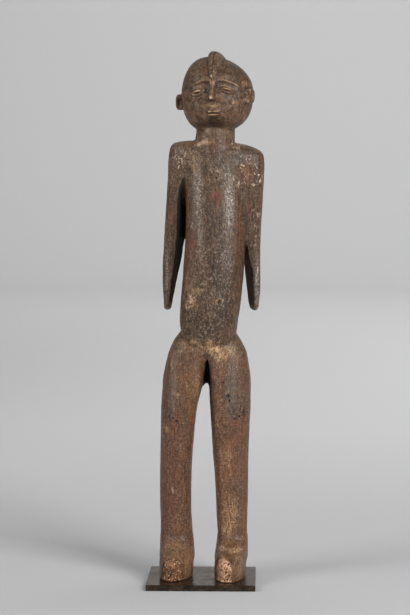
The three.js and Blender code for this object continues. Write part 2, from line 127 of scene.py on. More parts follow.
LEG_RIGHT = [
    (24, 29.8, 16.5, 15.5, 20.5),
    (44, 31.0, 17.5, 15.0, 17.5),
    (72, 30.6, 17.5, 16.2, 17.8),
    (100, 30.0, 16.0, 16.9, 19.0),
    (134, 29.1, 14.0, 18.5, 21.0),
    (171, 29.0, 12.0, 20.3, 22.0),
    (196, 28.4, 12.5, 21.6, 24.5),
    (215, 26.2, 14.5, 22.9, 28.0),
    (233, 23.3, 15.0, 22.5, 28.0),
    (246, 20.4, 13.5, 19.8, 25.0),
    (254, 18.5, 12.0, 16.8, 20.0),
    (261, 17.0, 10.0, 10.0, 13.0),
]
GROIN = [
    (202, 3.6, 20.0, 5.0, 6.0),
    (210, 3.9, 19.0, 8.5, 9.0),
    (222, 4.8, 16.0, 13.0, 15.0),
    (229, 5.6, 12.0, 15.0, 18.0),
    (238, 6.5, 9.5, 18.0, 20.5),
    (256, 7.0, 7.0, 24.0, 21.0),
]
# z, half width of the narrow gap between the thighs, seen from the front
CROTCH = [(176, 0.0), (188, 5.4), (199, 5.4), (206, 5.0), (216, 3.6), (225, 1.6), (230, 0.0)]
# heights above the sole
FOOT_LEFT = [
    (0.0, -26.0, 2.0, 16.2, 38.0),
    (10.0, -25.8, 2.2, 16.9, 38.0),
    (17.0, -25.8, 3.0, 16.7, 36.8),
    (23.0, -25.9, 6.5, 16.4, 32.5),
    (28.5, -25.7, 12.5, 15.5, 24.0),
    (37.0, -26.0, 17.5, 14.0, 16.0),
]
FOOT_RIGHT = [
    (0.0, 29.0, 0.5, 15.6, 40.5),
    (10.0, 29.2, 0.5, 16.0, 40.0),
    (17.0, 29.5, 1.5, 15.9, 38.5),
    (23.0, 30.1, 4.5, 15.3, 34.5),
    (28.5, 30.5, 11.5, 14.5, 25.0),
    (37.0, 30.8, 16.5, 13.0, 16.0),
]
NECK = dict(x=13.8, y=7.5, a=19.6, b=19.0, z0=436, z1=478)
HEAD = dict(x=15.6, y=3.0, z=499.0, a=36.3, b=38.0, up=37.0, down=39.8, jaw=2.45, yaw=9.0, crown=0.0065, chin=0.004)


# ------------------------------------------------------------------ small mathematics
def fields(stations, z):
    """Every column of a station table at the heights z, by monotone cubics."""
    t = np.asarray(stations, dtype=float)
    zs = t[:, 0]
    z = np.clip(np.asarray(z, dtype=float), zs[0], zs[-1])
    i = np.clip(np.searchsorted(zs, z, side="left") - 1, 0, len(zs) - 2)
    h = np.diff(zs)
    out = []
    for c in range(1, t.shape[1]):
        v = t[:, c]
        d = np.diff(v) / h
        m = np.zeros(len(v))
        p = d[:-1] * d[1:]
        m[1:-1] = np.where(p > 0, 2 * p / np.where(p > 0, d[:-1] + d[1:], 1), 0)
        m0 = np.where(i == 0, d[i], m[i]) * h[i]
        m1 = np.where(i + 1 == len(v) - 1, d[i], m[i + 1]) * h[i]
        s = (z - zs[i]) / h[i]
        s2, s3 = s * s, s * s * s
        out.append(
            ((2 * s3 - 3 * s2 + 1) * v[i] + (s3 - 2 * s2 + s) * m0 + (-2 * s3 + 3 * s2) * v[i + 1] + (s3 - s2) * m1).astype(F32)
        )
    return out


def step(a, b, x):
    t = np.clip((x - a) / (b - a), 0, 1)
    return t * t * (3 - 2 * t)


def join(a, b, k):
    h = np.clip(0.5 + 0.5 * (b - a) / k, 0, 1)
    return b * (1 - h) + a * h - k * h * (1 - h)


def meet(a, b, k):
    return -join(-a, -b, k)


def section(u, v, a, b, n, other=None):
    """Distance to the superellipse |u|^n + |v|^n = 1 of half sizes a and b; `other` is n for u > 0."""
    if other is not None:
        n = np.where(u < 0, n, other).astype(F32)
    u, v = np.abs(u) + 1e-4, np.abs(v) + 1e-4
    q = (u**n + v**n) ** (1 / n)
    g = np.hypot(u ** (n - 1) / a, v ** (n - 1) / b) / q ** (n - 1)
    return (q - 1) / np.maximum(g, 1e-3)


def ends(d, z, z0, z1, k=2.0):
    return meet(d, np.maximum(z0 - z, z - z1), k)


def hashed(ix, iy, iz, seed):
    h = (ix * 374761393 + iy * 668265263 + iz * 2147483647 + seed * 1274126177) & 0xFFFFFFFF
    h = ((h ^ (h >> 13)) * 1274126177) & 0xFFFFFFFF
    h = ((h ^ (h >> 16)) * 2246822519) & 0xFFFFFFFF
    return ((h >> 8) & 0xFFFF).astype(F32) / 65535.0


def noise(x, y, z, size, seed):
    """Value noise from -1 to 1 on a lattice of the given cell sizes (mm)."""
    sx, sy, sz = size
    x, y, z = np.broadcast_arrays(x / sx + 37.3, y / sy + 11.7, z / sz + 5.1)
    ix, iy, iz = (np.floor(t).astype(np.int64) for t in (x, y, z))
    fx, fy, fz = ((t - i).astype(F32) for t, i in ((x, ix), (y, iy), (z, iz)))
    fx, fy, fz = (t * t * (3 - 2 * t) for t in (fx, fy, fz))
    out = 0
    for dx in (0, 1):
        for dy in (0, 1):
            for dz in (0, 1):
                w = (fx if dx else 1 - fx) * (fy if dy else 1 - fy) * (fz if dz else 1 - fz)
                out = out + w * hashed(ix + dx, iy + dy, iz + dz, seed)
    return out * 2 - 1


def rounded_noise(x, y, z, size, seed, octaves=3):
    total, gain = 0, 1.0
    for k in range(octaves):
        total = total + gain * noise(x, y, z, tuple(s / 2**k for s in size), seed + 17 * k)
        gain *= 0.5
    return total


# ------------------------------------------------------------------ the carving as a field
def column(table, n, x, y, z, k=2.0, other=None):
    cx, cy, a, b = fields(table, z)
    d = section((x - cx) / a, (y - cy) / b, a, b, n, other)
    return ends(d, z, table[0][0], table[-1][0], k)


def trunk(x, y, z):
    low = np.maximum(0, 1 - (z + BELLY_DROP - TRUNK[0][0]) / (BELLY_REACH + BELLY_DROP))
    if z.min() > TRUNK[0][0] + BELLY_REACH:
        return column(TRUNK, TRUNK_LEFT, x, y, z, other=TRUNK_RIGHT)
    cx, cy, a, b = fields(TRUNK, z)
    forward = np.clip((cy - y) / b, 0, 1)
    zz = (z + BELLY_DROP * forward * low * low) * np.ones_like(x)
    cx, cy, a, b = fields(TRUNK, zz)
    d = section((x - cx) / a, (y - cy) / b, a, b, TRUNK_LEFT, TRUNK_RIGHT)
    return ends(d, zz, TRUNK[0][0], TRUNK[-1][0], 3.0)


def arm(table, slants, side, x, y, z):
    out, w, cy, b = fields(table, z)
    cx, a = out - side * w / 2, w / 2
    forward = np.clip((cy - y) / b, -1.3, 1.3)
    slant = np.interp(z, *zip(*slants)).astype(F32)
    # the inner face runs from the widest point at the back to a ridge in front
    inner = side * (x - cx) + a * (1 - slant * (0.5 + 0.5 * forward))
    d = section((x - cx) / a, (y - cy) / b, a, b, 2.6)
    face = -inner / np.sqrt(1 + (slant * a / (2 * b)) ** 2)
    d = meet(d, face, 1.6)
    return ends(d, z, table[0][0], table[-1][0], 1.5)


def crotch(x, y, z):
    """The gap between the thighs, negative inside it: a slot that narrows backwards."""
    half = np.interp(z, *zip(*CROTCH)).astype(F32)
    centre = np.interp(z, [180, 209, 233], [4.6, 4.9, 5.9]).astype(F32)
    taper = np.interp(y, [-20, -8, 20, 26], [1.25, 1.0, 0.3, 0.0]).astype(F32)
    return np.abs(x - centre) - half * taper + np.maximum(0, y - 24) * 0.3


def foot(table, front, lean, x, y, z):
    table = [(SOLE + s[0],) + s[1:] for s in table]
    cx, cy, a, b = fields(table, z)
    ahead = np.maximum(0, -y)
    narrow = 1 - (1 - front) * (ahead / 38) ** 2
    narrow = np.maximum(narrow, 0.2)
    d = section((x - cx + lean * ahead) / (a * narrow), (y - cy) / b, a * narrow, b, 3.2)
    return ends(d, z, table[0][0], table[-1][0], 0.8)


def left_break(x, z):
    """1 where the left toes are eaten away, seen from the front."""
    return 1 - step(0.86, 1.06, np.hypot((x + 28.0) / 11.6, np.maximum(0, z - 18.5) / 12.0))


def right_break(x, z):
    return 1 - step(0.9, 1.05, np.hypot((x - 21.7) / 9.3, np.maximum(0, z - 19.0) / 10.0))


def crumbled(x, y, z, where, depth, seed):
    """Wood lost from the front of the toes, as a rise of the field."""
    rough = 0.9 * rounded_noise(x, y, z, (4.2, 4.2, 4.8), seed, 3) + 0.5 * noise(x, y, z, (1.7, 1.7, 2.0), seed + 5)
    return where(x, z) * np.maximum(0.2, depth + rough) * (1 - step(-30, -16, y)) * step(SOLE - 1.0, SOLE + 4.0, z)


def galleries(x, y, z, spots):
    """Short insect tunnels: (x, y, z, radius, length along the foot)."""
    d = np.full(np.broadcast_shapes(x.shape, y.shape, z.shape), 50.0, F32)
    for gx, gy, gz, r, length, dx, dz in spots:
        t = np.clip((y - gy) / length, 0, 1)
        d = np.minimum(d, np.sqrt((x - gx - dx * t * length) ** 2 + (y - gy - t * length) ** 2 + (z - gz - dz * t * length) ** 2) - r)
    return d


def face_frame(x, y, z):
    """Head coordinates: across, front, up (mm), with the crown's and chin's lean undone."""
    wz = z - HEAD["z"]
    lean = HEAD["crown"] * np.maximum(0, wz - 6) ** 2 + HEAD["chin"] * np.maximum(0, -14 - wz) ** 2
    wx, wy = x - HEAD["x"] + lean, y - HEAD["y"]
    c, s = math.cos(math.radians(HEAD["yaw"])), math.sin(math.radians(HEAD["yaw"]))
    return c * wx - s * wy, -(s * wx + c * wy), wz * np.ones_like(wx)


def bump(u, v, a, b, edge=0.35):
    """1 inside an ellipse of half sizes a and b, falling to 0 just past it."""
    r = np.hypot(u / a, v / b)
    return 1 - step(1 - edge, 1 + edge * 0.4, r)


def dome(u, v, a, b):
    return np.sqrt(np.maximum(0, 1 - (u / a) ** 2 - (v / b) ** 2))


def segment(u, v, p, q):
    """Distance from (u, v) to the segment p q."""
    px, py, qx, qy = *p, *q
    dx, dy = qx - px, qy - py
    t = np.clip(((u - px) * dx + (v - py) * dy) / (dx * dx + dy * dy), 0, 1)
    return np.hypot(u - px - t * dx, v - py - t * dy), t


def crest_relief(across, front, up):
    turn = np.degrees(np.arctan2(up, front))  # 0 at the face, 90 on the crown
    turn = np.where(turn < -90, turn + 360, turn)
    on = [18, 21, 26, 33, 41, 45, 54, 65, 90, 105, 120, 135, 152]
    rise = np.interp(turn, on, [0.0, 0.9, 1.6, 1.9, 2.2, 2.5, 3.6, 4.7, 5.8, 5.4, 3.9, 2.1, 0.0])
    half = np.interp(turn, on, [2.4, 2.8, 3.7, 4.8, 5.0, 5.7, 7.0, 7.4, 7.5, 7.2, 6.4, 5.2, 3.5])
    centre = np.interp(turn, on, [1.5, 1.6, 2.0, 2.1, 2.7, 3.4, 5.0, 5.8, 6.5, 5.4, 3.4, 1.8, 0.0])
    w = across - centre
    lumps = 1 + 0.13 * np.sin(turn * 0.62 + 1.0) * step(0.8, -0.8, w) * (1 - step(66, 80, turn))
    body = rise * lumps * np.maximum(0, 1 - np.abs(w / half) ** 2.8) ** 0.75
    line = np.interp(turn, [29, 33, 43.6, 55.7, 70, 80], [2.2, 1.8, 3.0, 5.0, 6.4, 6.6])
    cut = 1.5 * np.exp(-(((across - line) / 0.62) ** 2)) * step(27, 31, turn) * (1 - step(78, 84, turn))
    dot = 1.2 * np.exp(-(((across - 6.8) / 0.9) ** 2) - ((turn - 78) / 2.2) ** 2)
    left_wall = 0.3 * np.exp(-(((w + half) / 0.7) ** 2)) * step(22, 30, turn) * (1 - step(62, 72, turn))
    uneven = 0.72 + 0.28 * np.sin(turn * 1.7 + 0.9 * np.sin(turn * 0.53))
    beads = 0.55 * np.exp(-(((across - line - 2.0) / 1.1) ** 2)) * np.maximum(0, np.sin(turn * 0.9)) * step(31, 35, turn) * (1 - step(56, 66, turn))
    return (body + beads - np.minimum(cut * uneven, body * 0.7 + 0.4) - dot - left_wall * uneven).astype(F32)


BROW = [(-24, 4.2), (-19.6, 7.3), (-12.5, 10.6), (-8.8, 11.8), (-3.4, 12.0), (0.6, 12.2), (4.6, 12.6), (11.2, 12.6), (13.5, 11.8), (20.1, 9.6), (23.1, 7.7), (26.4, 5.6), (28, 4.5)]


def face_relief(u, v, front):
    """Relief of the front of the head. u across, v up from the head's centre (mm)."""
    on_face = step(2, 9, front)
    brow = np.interp(u, *zip(*BROW)).astype(F32)
    below = brow - v
    side = np.where(u < 1.5, (1.5 - u) / 21.0, (u - 1.5) / 24.5)
    lateral = 1 - step(0.86, 1.06, side)
    # thin raised edge of each brow
    edge = np.interp(side, [0.22, 0.36, 0.5, 0.8, 0.96, 1.06], [0, 0.35, 0.6, 0.9, 1.0, 0])
    h = 0.85 * edge * np.exp(-(((below + 0.2) / 0.62) ** 2))
    # sockets, deepest beside the nose
    deep = np.interp(side, [0, 0.1, 0.25, 0.5, 0.8, 1.05], [1.2, 2.6, 3.0, 2.0, 1.2, 0])
    h = h - deep * step(0.2, 3.4, below) * (1 - step(8.5, 17.0, below)) * lateral
    h = h - 1.1 * bump(u + 5.6, v - 1.4, 2.2, 3.0, 0.8) - 0.5 * bump(u - 8.6, v - 4.6, 2.6, 3.0, 0.9)
    # nose: a narrow blocky wedge, cut off flat below
    top, tip = 13.0, -7.4
    t = np.clip((top - v) / (top - tip), 0, 1)
    half = np.interp(t, [0, 0.1, 0.3, 0.5, 0.65, 0.85, 1], [3.4, 3.1, 2.5, 2.1, 2.0, 2.2, 2.5])
    high = np.interp(t, [0, 0.1, 0.3, 0.5, 0.7, 0.9, 1], [0.0, 0.9, 1.7, 2.7, 4.3, 5.9, 5.7])
    inside = (v > tip - 0.9) & (v < top + 1)
    # steep on the left, a broad slope on the right
    across = (u - 1.2) / half
    wall = np.where(across < 0, 1 - step(0.62, 1.12, -across), 1 - step(0.35, 2.3, across)).astype(F32)
    under = step(tip - 0.75, tip + 0.45, v)
    nose = high * wall * under * inside
    h = np.where(nose > 0.02, np.maximum(h, nose + np.minimum(h, 0) * (1 - wall)), h)
    h = h - 0.8 * np.exp(-(((u - 0.4) / 0.5) ** 2)) * bump(u - 0.4, v - 2.4, 1.4, 2.6, 0.5)
    h = h - 0.9 * bump(u - 0.9, v + 9.0, 3.2, 1.4)
    # left eye
    eu, ev = u + 14.4, v - 0.1 - 0.20 * (u + 14.4)
    h = h + 2.1 * dome(eu, ev, 6.0, 3.9)
    h = h - 0.85 * groove_line(eu, ev, [(-5.6, 1.0), (-2.6, 2.75), (1.8, 3.0), (5.0, 1.0)], 0.62)
    h = h + 0.75 * dome(eu - 0.2, ev - 1.1, 3.7, 1.05)
    h = h - 1.15 * groove_line(eu, ev, [(-4.8, 0.0), (-1.0, -0.75), (2.8, -0.9)], 0.6)
    h = h + 0.45 * ridge_line(eu, ev, [(-5.2, -1.5), (-1.5, -2.6), (2.6, -2.5)], 0.8)
    # right eye
    eu, ev = u - 16.0, v - 2.1 + 0.24 * (u - 16.0)
    h = h + 2.0 * dome(eu, ev, 6.2, 3.9)
    h = h - 0.8 * groove_line(eu, ev, [(-5.4, 1.4), (-2.4, 2.9), (2.2, 2.6), (5.6, 1.2)], 0.62)
    h = h + 0.7 * dome(eu + 0.1, ev - 1.2, 4.0, 1.0)
    h = h - 1.15 * groove_line(eu, ev, [(-3.4, -0.1), (0.4, -0.5), (4.2, -0.2)], 0.62)
    h = h + 0.4 * ridge_line(eu, ev, [(-2.5, -2.7), (0.6, -3.4), (3.6, -2.8)], 0.9)
    # lid fold above the right eye, and the fold under the left one
    h = h + 0.5 * ridge_line(u, v, [(9.0, 6.5), (13.5, 6.7), (17.0, 5.1), (21.5, 3.2)], 0.8)
    h = h + 0.65 * ridge_line(u, v, [(-14.5, -6.2), (-10.5, -4.9), (-4.6, -2.6)], 1.1)
    # muzzle, two lobes of upper lip, lower lip, slit
    h = h + 0.9 * bump(u - 2.2, v + 20.6, 8.2, 4.6, 0.6)
    h = h + 1.5 * dome(u + 1.3, v + 19.4, 2.3, 1.05) + 1.1 * dome(u - 5.4, v + 19.4, 3.6, 1.1)
    h = h + 0.4 * dome(u - 8.6, v + 17.9, 1.3, 1.0) - 0.7 * bump(u - 1.2, v + 19.0, 0.8, 1.2, 0.6)
    h = h + 1.1 * dome(u - 1.7, v + 22.3, 5.4, 1.0)
    h = h - 1.2 * groove_line(u, v, [(-3.6, -20.8), (2, -20.9), (8.4, -20.6)], 0.55)
    h = h - 1.5 * bump(u - 1.6, v + 27.4, 6.5, 3.4, 0.9)
    # small mark on the right cheek
    h = h + 0.45 * bump(u - 21.3, v + 9.8, 1.7, 1.7, 0.5) - 0.8 * bump(u - 20.6, v + 9.2, 0.8, 0.8, 0.5)
    # the face stands a little proud of the side of the head, behind a thin line
    side_line = np.interp(v, [-32, -28, -18, 18, 24], [24.6, 25.6, 27.4, 27.6, 26.4]).astype(F32)
    rim = u - side_line
    h = h - 0.4 * step(-0.8, 1.2, rim) * (1 - step(15, 24, np.abs(v + 3)))
    h = h - 0.35 * np.exp(-(((rim - 0.5) / 0.7) ** 2)) * (1 - step(12, 22, np.abs(v + 3)))
    # a small knob with a dimple ends the crest
    h = h + 1.5 * dome(u - 2.0, v - 15.7, 2.7, 2.7) - 0.9 * bump(u - 2.3, v - 15.6, 0.9, 1.1, 0.5)
    return (h * on_face).astype(F32)


def groove_line(u, v, points, width):
    return line_profile(u, v, points, width, 2)


def ridge_line(u, v, points, width):
    return line_profile(u, v, points, width, 2)


def line_profile(u, v, points, width, power):
    best = 0
    n = len(points) - 1
    for i in range(n):
        d, t = segment(u, v, points[i], points[i + 1])
        along = (i + t) / n
        w = width * (0.55 + 0.45 * np.sin(np.pi * np.clip(along, 0.03, 0.97)) ** 0.5)
        best = np.maximum(best, np.exp(-((d / w) ** power)))
    return best


def right_ear(lon, lat):
    e = np.hypot((lon - 76) / 23.0, (lat + 5.0) / 12.5)
    flap = np.interp(lon, [52, 60, 70, 80, 98], [0.7, 1.2, 1.5, 1.8, 1.7]) * (1 - step(0.86, 1.02, e))
    h = flap - 1.5 * bump(lon - 56.8, lat + 6.2, 7.0, 6.5, 0.45)
    # lumps of the rim
    for at, r, k in (((71, 3.4), 3.4, 0.8), ((77.5, -2.6), 3.0, 0.8), ((81, -8.5), 3.2, 0.6), ((66, -13.6), 4.0, 0.9), ((62, -1.5), 2.4, 0.6)):
        h = h + k * bump(lon - at[0], lat - at[1], r, r, 0.7)
    for at, r, k in (((51.8, 0.9), 2.3, 1.7), ((76.5, -9.6), 1.9, 1.0), ((70.0, -8.9), 2.1, 1.1), ((83.5, -4.6), 1.9, 0.9), ((63.1, -18.3), 2.8, 1.2), ((79.5, 1.0), 1.7, 0.6)):
        h = h - k * bump(lon - at[0], lat - at[1], r, r * 0.9, 0.6)
    # a ridged block above
    block = bump((lon - 62.5), (lat - 13.6), 9.5, 6.0, 0.3)
    return (h + block * (0.5 + 0.35 * np.cos((lat - 13.4) * 0.87 + math.pi))).astype(F32)


def left_ear(u, f, v):
    """A small upright slab at the left side, hollowed in front."""
    cu, cf, cv = -37.4, 2.0, -8.9
    slab = section((u - cu) / 4.8, (v - cv) / 8.0, 4.8, 8.0, 3.0)
    slab = meet(slab, np.abs(f - cf) - 4.2, 2.2)
    bowl = (np.sqrt(((u - cu + 0.3) / 2.7) ** 2 + ((v - cv) / 5.2) ** 2 + ((f - cf - 5.0) / 2.2) ** 2) - 1) * 2.2
    return meet(slab, -bowl, 0.8)


def head(x, y, z):
    u, f, v = face_frame(x, y, z)
    flat2 = (u / HEAD["a"]) ** 2 + (f / HEAD["b"]) ** 2
    r = np.sqrt(u * u + f * f + v * v) + 1e-3
    q_up = np.sqrt(flat2 + (v / HEAD["up"]) ** 2)
    n = HEAD["jaw"]
    q_down = (flat2 ** (n / 2) + (np.abs(v) / HEAD["down"]) ** n) ** (1 / n)
    q = np.where(v > 0, q_up, q_down) + 1e-4
    skull = r / q
    lon = np.degrees(np.arctan2(u, f))
    lat = np.degrees(np.arctan2(v, np.hypot(u, f)))
    relief = face_relief(u, v, f) + right_ear(lon, lat) + crest_relief(u, f, v)
    d = (r - skull - relief) * 0.9
    # under the chin the wood is cut away towards the neck
    chin = -25.3 - 0.026 * (u - 1.5) ** 2
    under = (chin - (33.0 - f) * 0.45 - v) * 0.912
    d = meet(d, under, 0.8)
    return join(d, left_ear(u, f, v), 1.0)


def carving(x, y, z):
    """Signed distance (mm), negative inside, for one stack of layers."""
    lo, hi = float(z.min()), float(z.max())
    d = np.full(np.broadcast_shapes(x.shape, y.shape, z.shape), 30.0, F32)

    def reaches(a, b, pad=10):
        return hi > a - pad and lo < b + pad

    if reaches(LEG_LEFT[0][0], LEG_LEFT[-1][0]):
        legs = join(column(LEG_LEFT, 2.2, x, y, z, other=2.6), column(LEG_RIGHT, 2.9, x, y, z, other=2.2), 1.2)
        if reaches(GROIN[0][0], GROIN[-1][0]):
            legs = join(legs, column(GROIN, 2.2, x, y, z), 5.0)
        if reaches(CROTCH[0][0], CROTCH[-1][0], 3):
            legs = meet(legs, -crotch(x, y, z), 1.0)
        d = legs
    if reaches(SOLE, SOLE + 37):
        left = foot(FOOT_LEFT, 0.5, 0.13, x, y, z)
        right = foot(FOOT_RIGHT, 0.72, 0.05, x, y, z)
        left = left + crumbled(x, y, z, left_break, 1.5, 3)
        right = right + crumbled(x, y, z, right_break, 1.3, 8)
        left = meet(left, -galleries(x, y, z, LEFT_TUNNELS), 0.5)
        right = meet(right, -galleries(x, y, z, RIGHT_TUNNELS), 0.4)
        d = join(join(d, left, 6.0), right, 6.0)
        d = meet(d, SOLE - z, 0.5)
    if reaches(TRUNK[0][0] - BELLY_DROP, TRUNK[-1][0]):
        body = trunk(x, y, z)
        if reaches(SHOULDERS[0][0], SHOULDERS[-1][0]):
            body = join(body, column(SHOULDERS, 3.0, x, y, z), 7.0)
        if reaches(ARM_LEFT[0][0], ARM_LEFT[-1][0]):
            k = np.interp(z, [395, 428], [0.0, 7.0]).astype(F32) * (1 - step(20, 34, np.abs(x - 14))) + 1.0
            body = join(body, arm(ARM_LEFT, SLANT_LEFT, -1, x, y, z), k)
            # the right arm runs into the chest without a groove down to the middle of the trunk
            k = np.maximum(k, 1.0 + 6.5 * step(336, 362, z) * (1 - step(384, 398, z) * step(30, 36, x - 14)))
            body = join(body, arm(ARM_RIGHT, SLANT_RIGHT, 1, x, y, z), k)
        d = join(d, body, 2.2)
    if reaches(NECK["z0"], NECK["z1"]):
        neck = section((x - NECK["x"]) / NECK["a"], (y - NECK["y"]) / NECK["b"], NECK["a"], NECK["b"], 2.0)
        neck = ends(neck + 0 * z - 2.2 * step(462, 447, z) * step(8, -12, x - NECK["x"] + 12), z, NECK["z0"], NECK["z1"])
        d = join(d, neck, 3.0)
    if reaches(HEAD["z"] - HEAD["down"], 545):
        d = join(d, head(x, y, z), 1.2)
    return d.astype(F32)


def tunnels(centre, spread, count, seed, y0):
    """Deterministic spots for the insect tunnels of a broken toe."""
    rng = np.random.default_rng(seed)
    spots = []
    for _ in range(count):
        x = centre[0] + spread[0] * rng.uniform(-1, 1)
        z = centre[1] + spread[1] * rng.uniform(-1, 1)
        spots.append((x, y0 + rng.uniform(-2.5, 1.5), z, rng.uniform(0.4, 0.85), rng.uniform(2, 5), rng.uniform(-0.5, 0.5), rng.uniform(-0.4, 0.4)))
    return spots


LEFT_TUNNELS = tunnels((-28.0, 18.0), (9.0, 9.5), 34, 4, -35.0)
RIGHT_TUNNELS = tunnels((23.0, 16.0), (6.5, 8.0), 14, 9, -40.0)


# ------------------------------------------------------------------ meshing
def grid_lines(parts):
    """Coordinates with a spacing that changes by stretch: (start, end, step), ..."""
    out = []
    for a, b, h in parts:
        n = max(1, int(round((b - a) / h)))
        out.append(a + (b - a) * np.arange(n) / n)
    out.append(np.array([parts[-1][1]]))
    return np.concatenate(out)


def build_surface():
    h = 0.62 if FINE else 1.2
    xs = grid_lines([(-47.0, 67.5, h)])
    ys = grid_lines([(-44.5, 47.0, h)])
    zs = grid_lines([(4.6, 45, h), (45, 452, h * 1.5), (452, 544.5, h * 0.9)])
    values = np.empty((len(xs), len(ys), len(zs)), F32)
    x, y = xs.astype(F32)[:, None, None], ys.astype(F32)[None, :, None]
    layer = 24
    for k in range(0, len(zs), layer):
        z = zs[k : k + layer].astype(F32)[None, None, :]
        values[:, :, k : k + layer] = np.clip(carving(x, y, z), -4, 4)
    grid = openvdb.FloatGrid()
    grid.background = 4.0
    grid.copyFromArray(values)
    points, quads = grid.convertToQuads(isovalue=0.0)
    where = np.empty_like(points, dtype=np.float64)
    for axis, lines in enumerate((xs, ys, zs)):
        where[:, axis] = np.interp(points[:, axis], np.arange(len(lines)), lines)
    return where, quads.astype(np.int64), (xs, ys, zs, values)


def sample(lattice, p):
    """The field at the points p, by trilinear interpolation."""
    xs, ys, zs, values = lattice
    f = [np.interp(p[:, i], lines, np.arange(len(lines))) for i, lines in enumerate((xs, ys, zs))]
    i0 = [np.clip(np.floor(t).astype(int), 0, n - 2) for t, n in zip(f, values.shape)]
    w = [t - i for t, i in zip(f, i0)]
    out = 0
    for dx in (0, 1):
        for dy in (0, 1):
            for dz in (0, 1):
                k = (w[0] if dx else 1 - w[0]) * (w[1] if dy else 1 - w[1]) * (w[2] if dz else 1 - w[2])
                out = out + k * values[i0[0] + dx, i0[1] + dy, i0[2] + dz]
    return out


def vertex_normals(p, quads):
    a, b, c, d = (p[quads[:, i]] for i in range(4))
    face = np.cross(c - a, d - b)
    n = np.zeros_like(p)
    for i in range(4):
        for axis in range(3):
            n[:, axis] += np.bincount(quads[:, i], weights=face[:, axis], minlength=len(p))
    return n / np.maximum(np.linalg.norm(n, axis=1, keepdims=True), 1e-9)


def facing(n):
    """How much the surface looks forwards, or upwards as on the shoulders."""
    return np.clip(np.maximum(-n[:, 1], 0.6 * n[:, 2] - 0.2 * n[:, 1]), 0, 1)


def spot(p, n, x, z, rx, rz, soft=0.45):
    """A patch on the front, centred at (x, z) mm with half sizes rx, rz."""
    r = np.hypot((p[:, 0] - x) / rx, (p[:, 2] - z) / rz)
    return (1 - step(1 - soft, 1 + soft, r)) * step(0.05, 0.4, facing(n))


def wear(p, n):
    """Tool marks, grain, pits and cracks: how far each vertex moves along its normal (mm)."""
    x, y, z = p.T
    on_head = step(450, 462, z)
    on_foot = 1 - step(30, 40, z)
    body = (1 - on_head) * (1 - 0.4 * on_foot)
    d = 0.42 * noise(x, y, z, (15, 15, 34), 1) * body
    d += 0.24 * noise(x, y, z, (7.5, 7.5, 15), 2) * (body + 0.5 * on_head)
    facets = np.abs(noise(x, y, z, (5.5, 5.5, 13), 3))
    d -= 0.22 * (1 - facets) ** 3 * body
    d += 0.10 * noise(x, y, z, (1.7, 1.7, 14), 4) * (0.4 + 0.6 * body)
    # pits, stronger on the belly and the shoulders
    pits = step(0.45, 0.8, noise(x, y, z, (2.6, 2.6, 3.4), 6))
    belly = spot(p, n, 8, 275, 34, 34, 0.5)
    d -= 0.32 * pits * (0.3 * body + 0.6 * belly)
    # the belly's rough band of short cross cuts
    d -= 0.22 * step(0.25, 0.7, noise(x, y, z, (4.5, 4.5, 1.9), 7)) * belly
    # a pit with a rim
    hole = np.hypot(x - 18.6, z - 288.6)
    front = step(0.1, 0.5, facing(n))
    ragged = hole + 0.9 * noise(x, y, z, (1.9, 1.9, 1.9), 13)
    d += (0.6 * np.exp(-(((ragged - 2.9) / 0.8) ** 2)) - 1.6 * np.exp(-((ragged / 1.9) ** 2))) * front
    # a column of small checks down the trunk
    line = 11.6 + 0.9 * np.sin(z * 0.31) + 0.5 * np.sin(z * 0.83)
    run = step(300, 306, z) * (1 - step(330, 338, z))
    d -= 1.2 * np.exp(-(((x - line) / 0.9) ** 2)) * run * step(0.1, 0.5, noise(0 * x, 0 * y, z, (5, 5, 4.2), 12) + 0.35) * front
    # knots at the knees
    for kx, kz, r in KNOTS:
        away = np.hypot((x - kx) / r, (z - kz) / (1.3 * r)) + 0.35 * noise(x, y, z, (2.1, 2.1, 2.6), 14)
        d += (0.5 * np.exp(-(((away - 1.1) / 0.35) ** 2)) - 1.1 * np.exp(-((away / 0.6) ** 2))) * front
    # folds over the insteps
    for line, width, high in FOLDS:
        off, _ = segment(x, z, *line)
        low, _ = segment(x, z + 1.9, *line)
        off, low = (k + 0.8 * noise(x, y, z, (4, 4, 4), 15) for k in (off, low))
        d += high * (np.exp(-((off / width) ** 2)) - 0.9 * np.exp(-((low / width) ** 2))) * front
    # worn pubic patch, chipped
    chips = spot(p, n, 12.0, 238.5, 11.0, 8.5, 0.7)
    d -= chips * (0.6 + 0.5 * rounded_noise(x, y, z, (4.0, 4.0, 4.5), 21, 2))
    return d


# Small knots on the front of the legs: x, z, radius.
KNOTS = [(-33.5, 171.0, 1.7), (-29.0, 169.5, 1.6), (-25.8, 166.0, 1.8), (26.9, 192.5, 2.3), (28.3, 187.5, 1.4), (33.5, 168.5, 2.2), (42.6, 174.5, 1.8), (38.0, 171.5, 1.3), (22.0, 206.0, 1.4)]
# Folds over the insteps: ends of the line in x and z, width, height.
FOLDS = [(((16.5, 35.0), (27.0, 37.0)), 1.1, 0.6), (((26.0, 37.6), (33.0, 34.0)), 1.1, 0.7), (((32.0, 35.6), (42.0, 32.0)), 1.1, 0.7), (((-38.0, 34.0), (-20.0, 33.0)), 1.5, 0.35)]

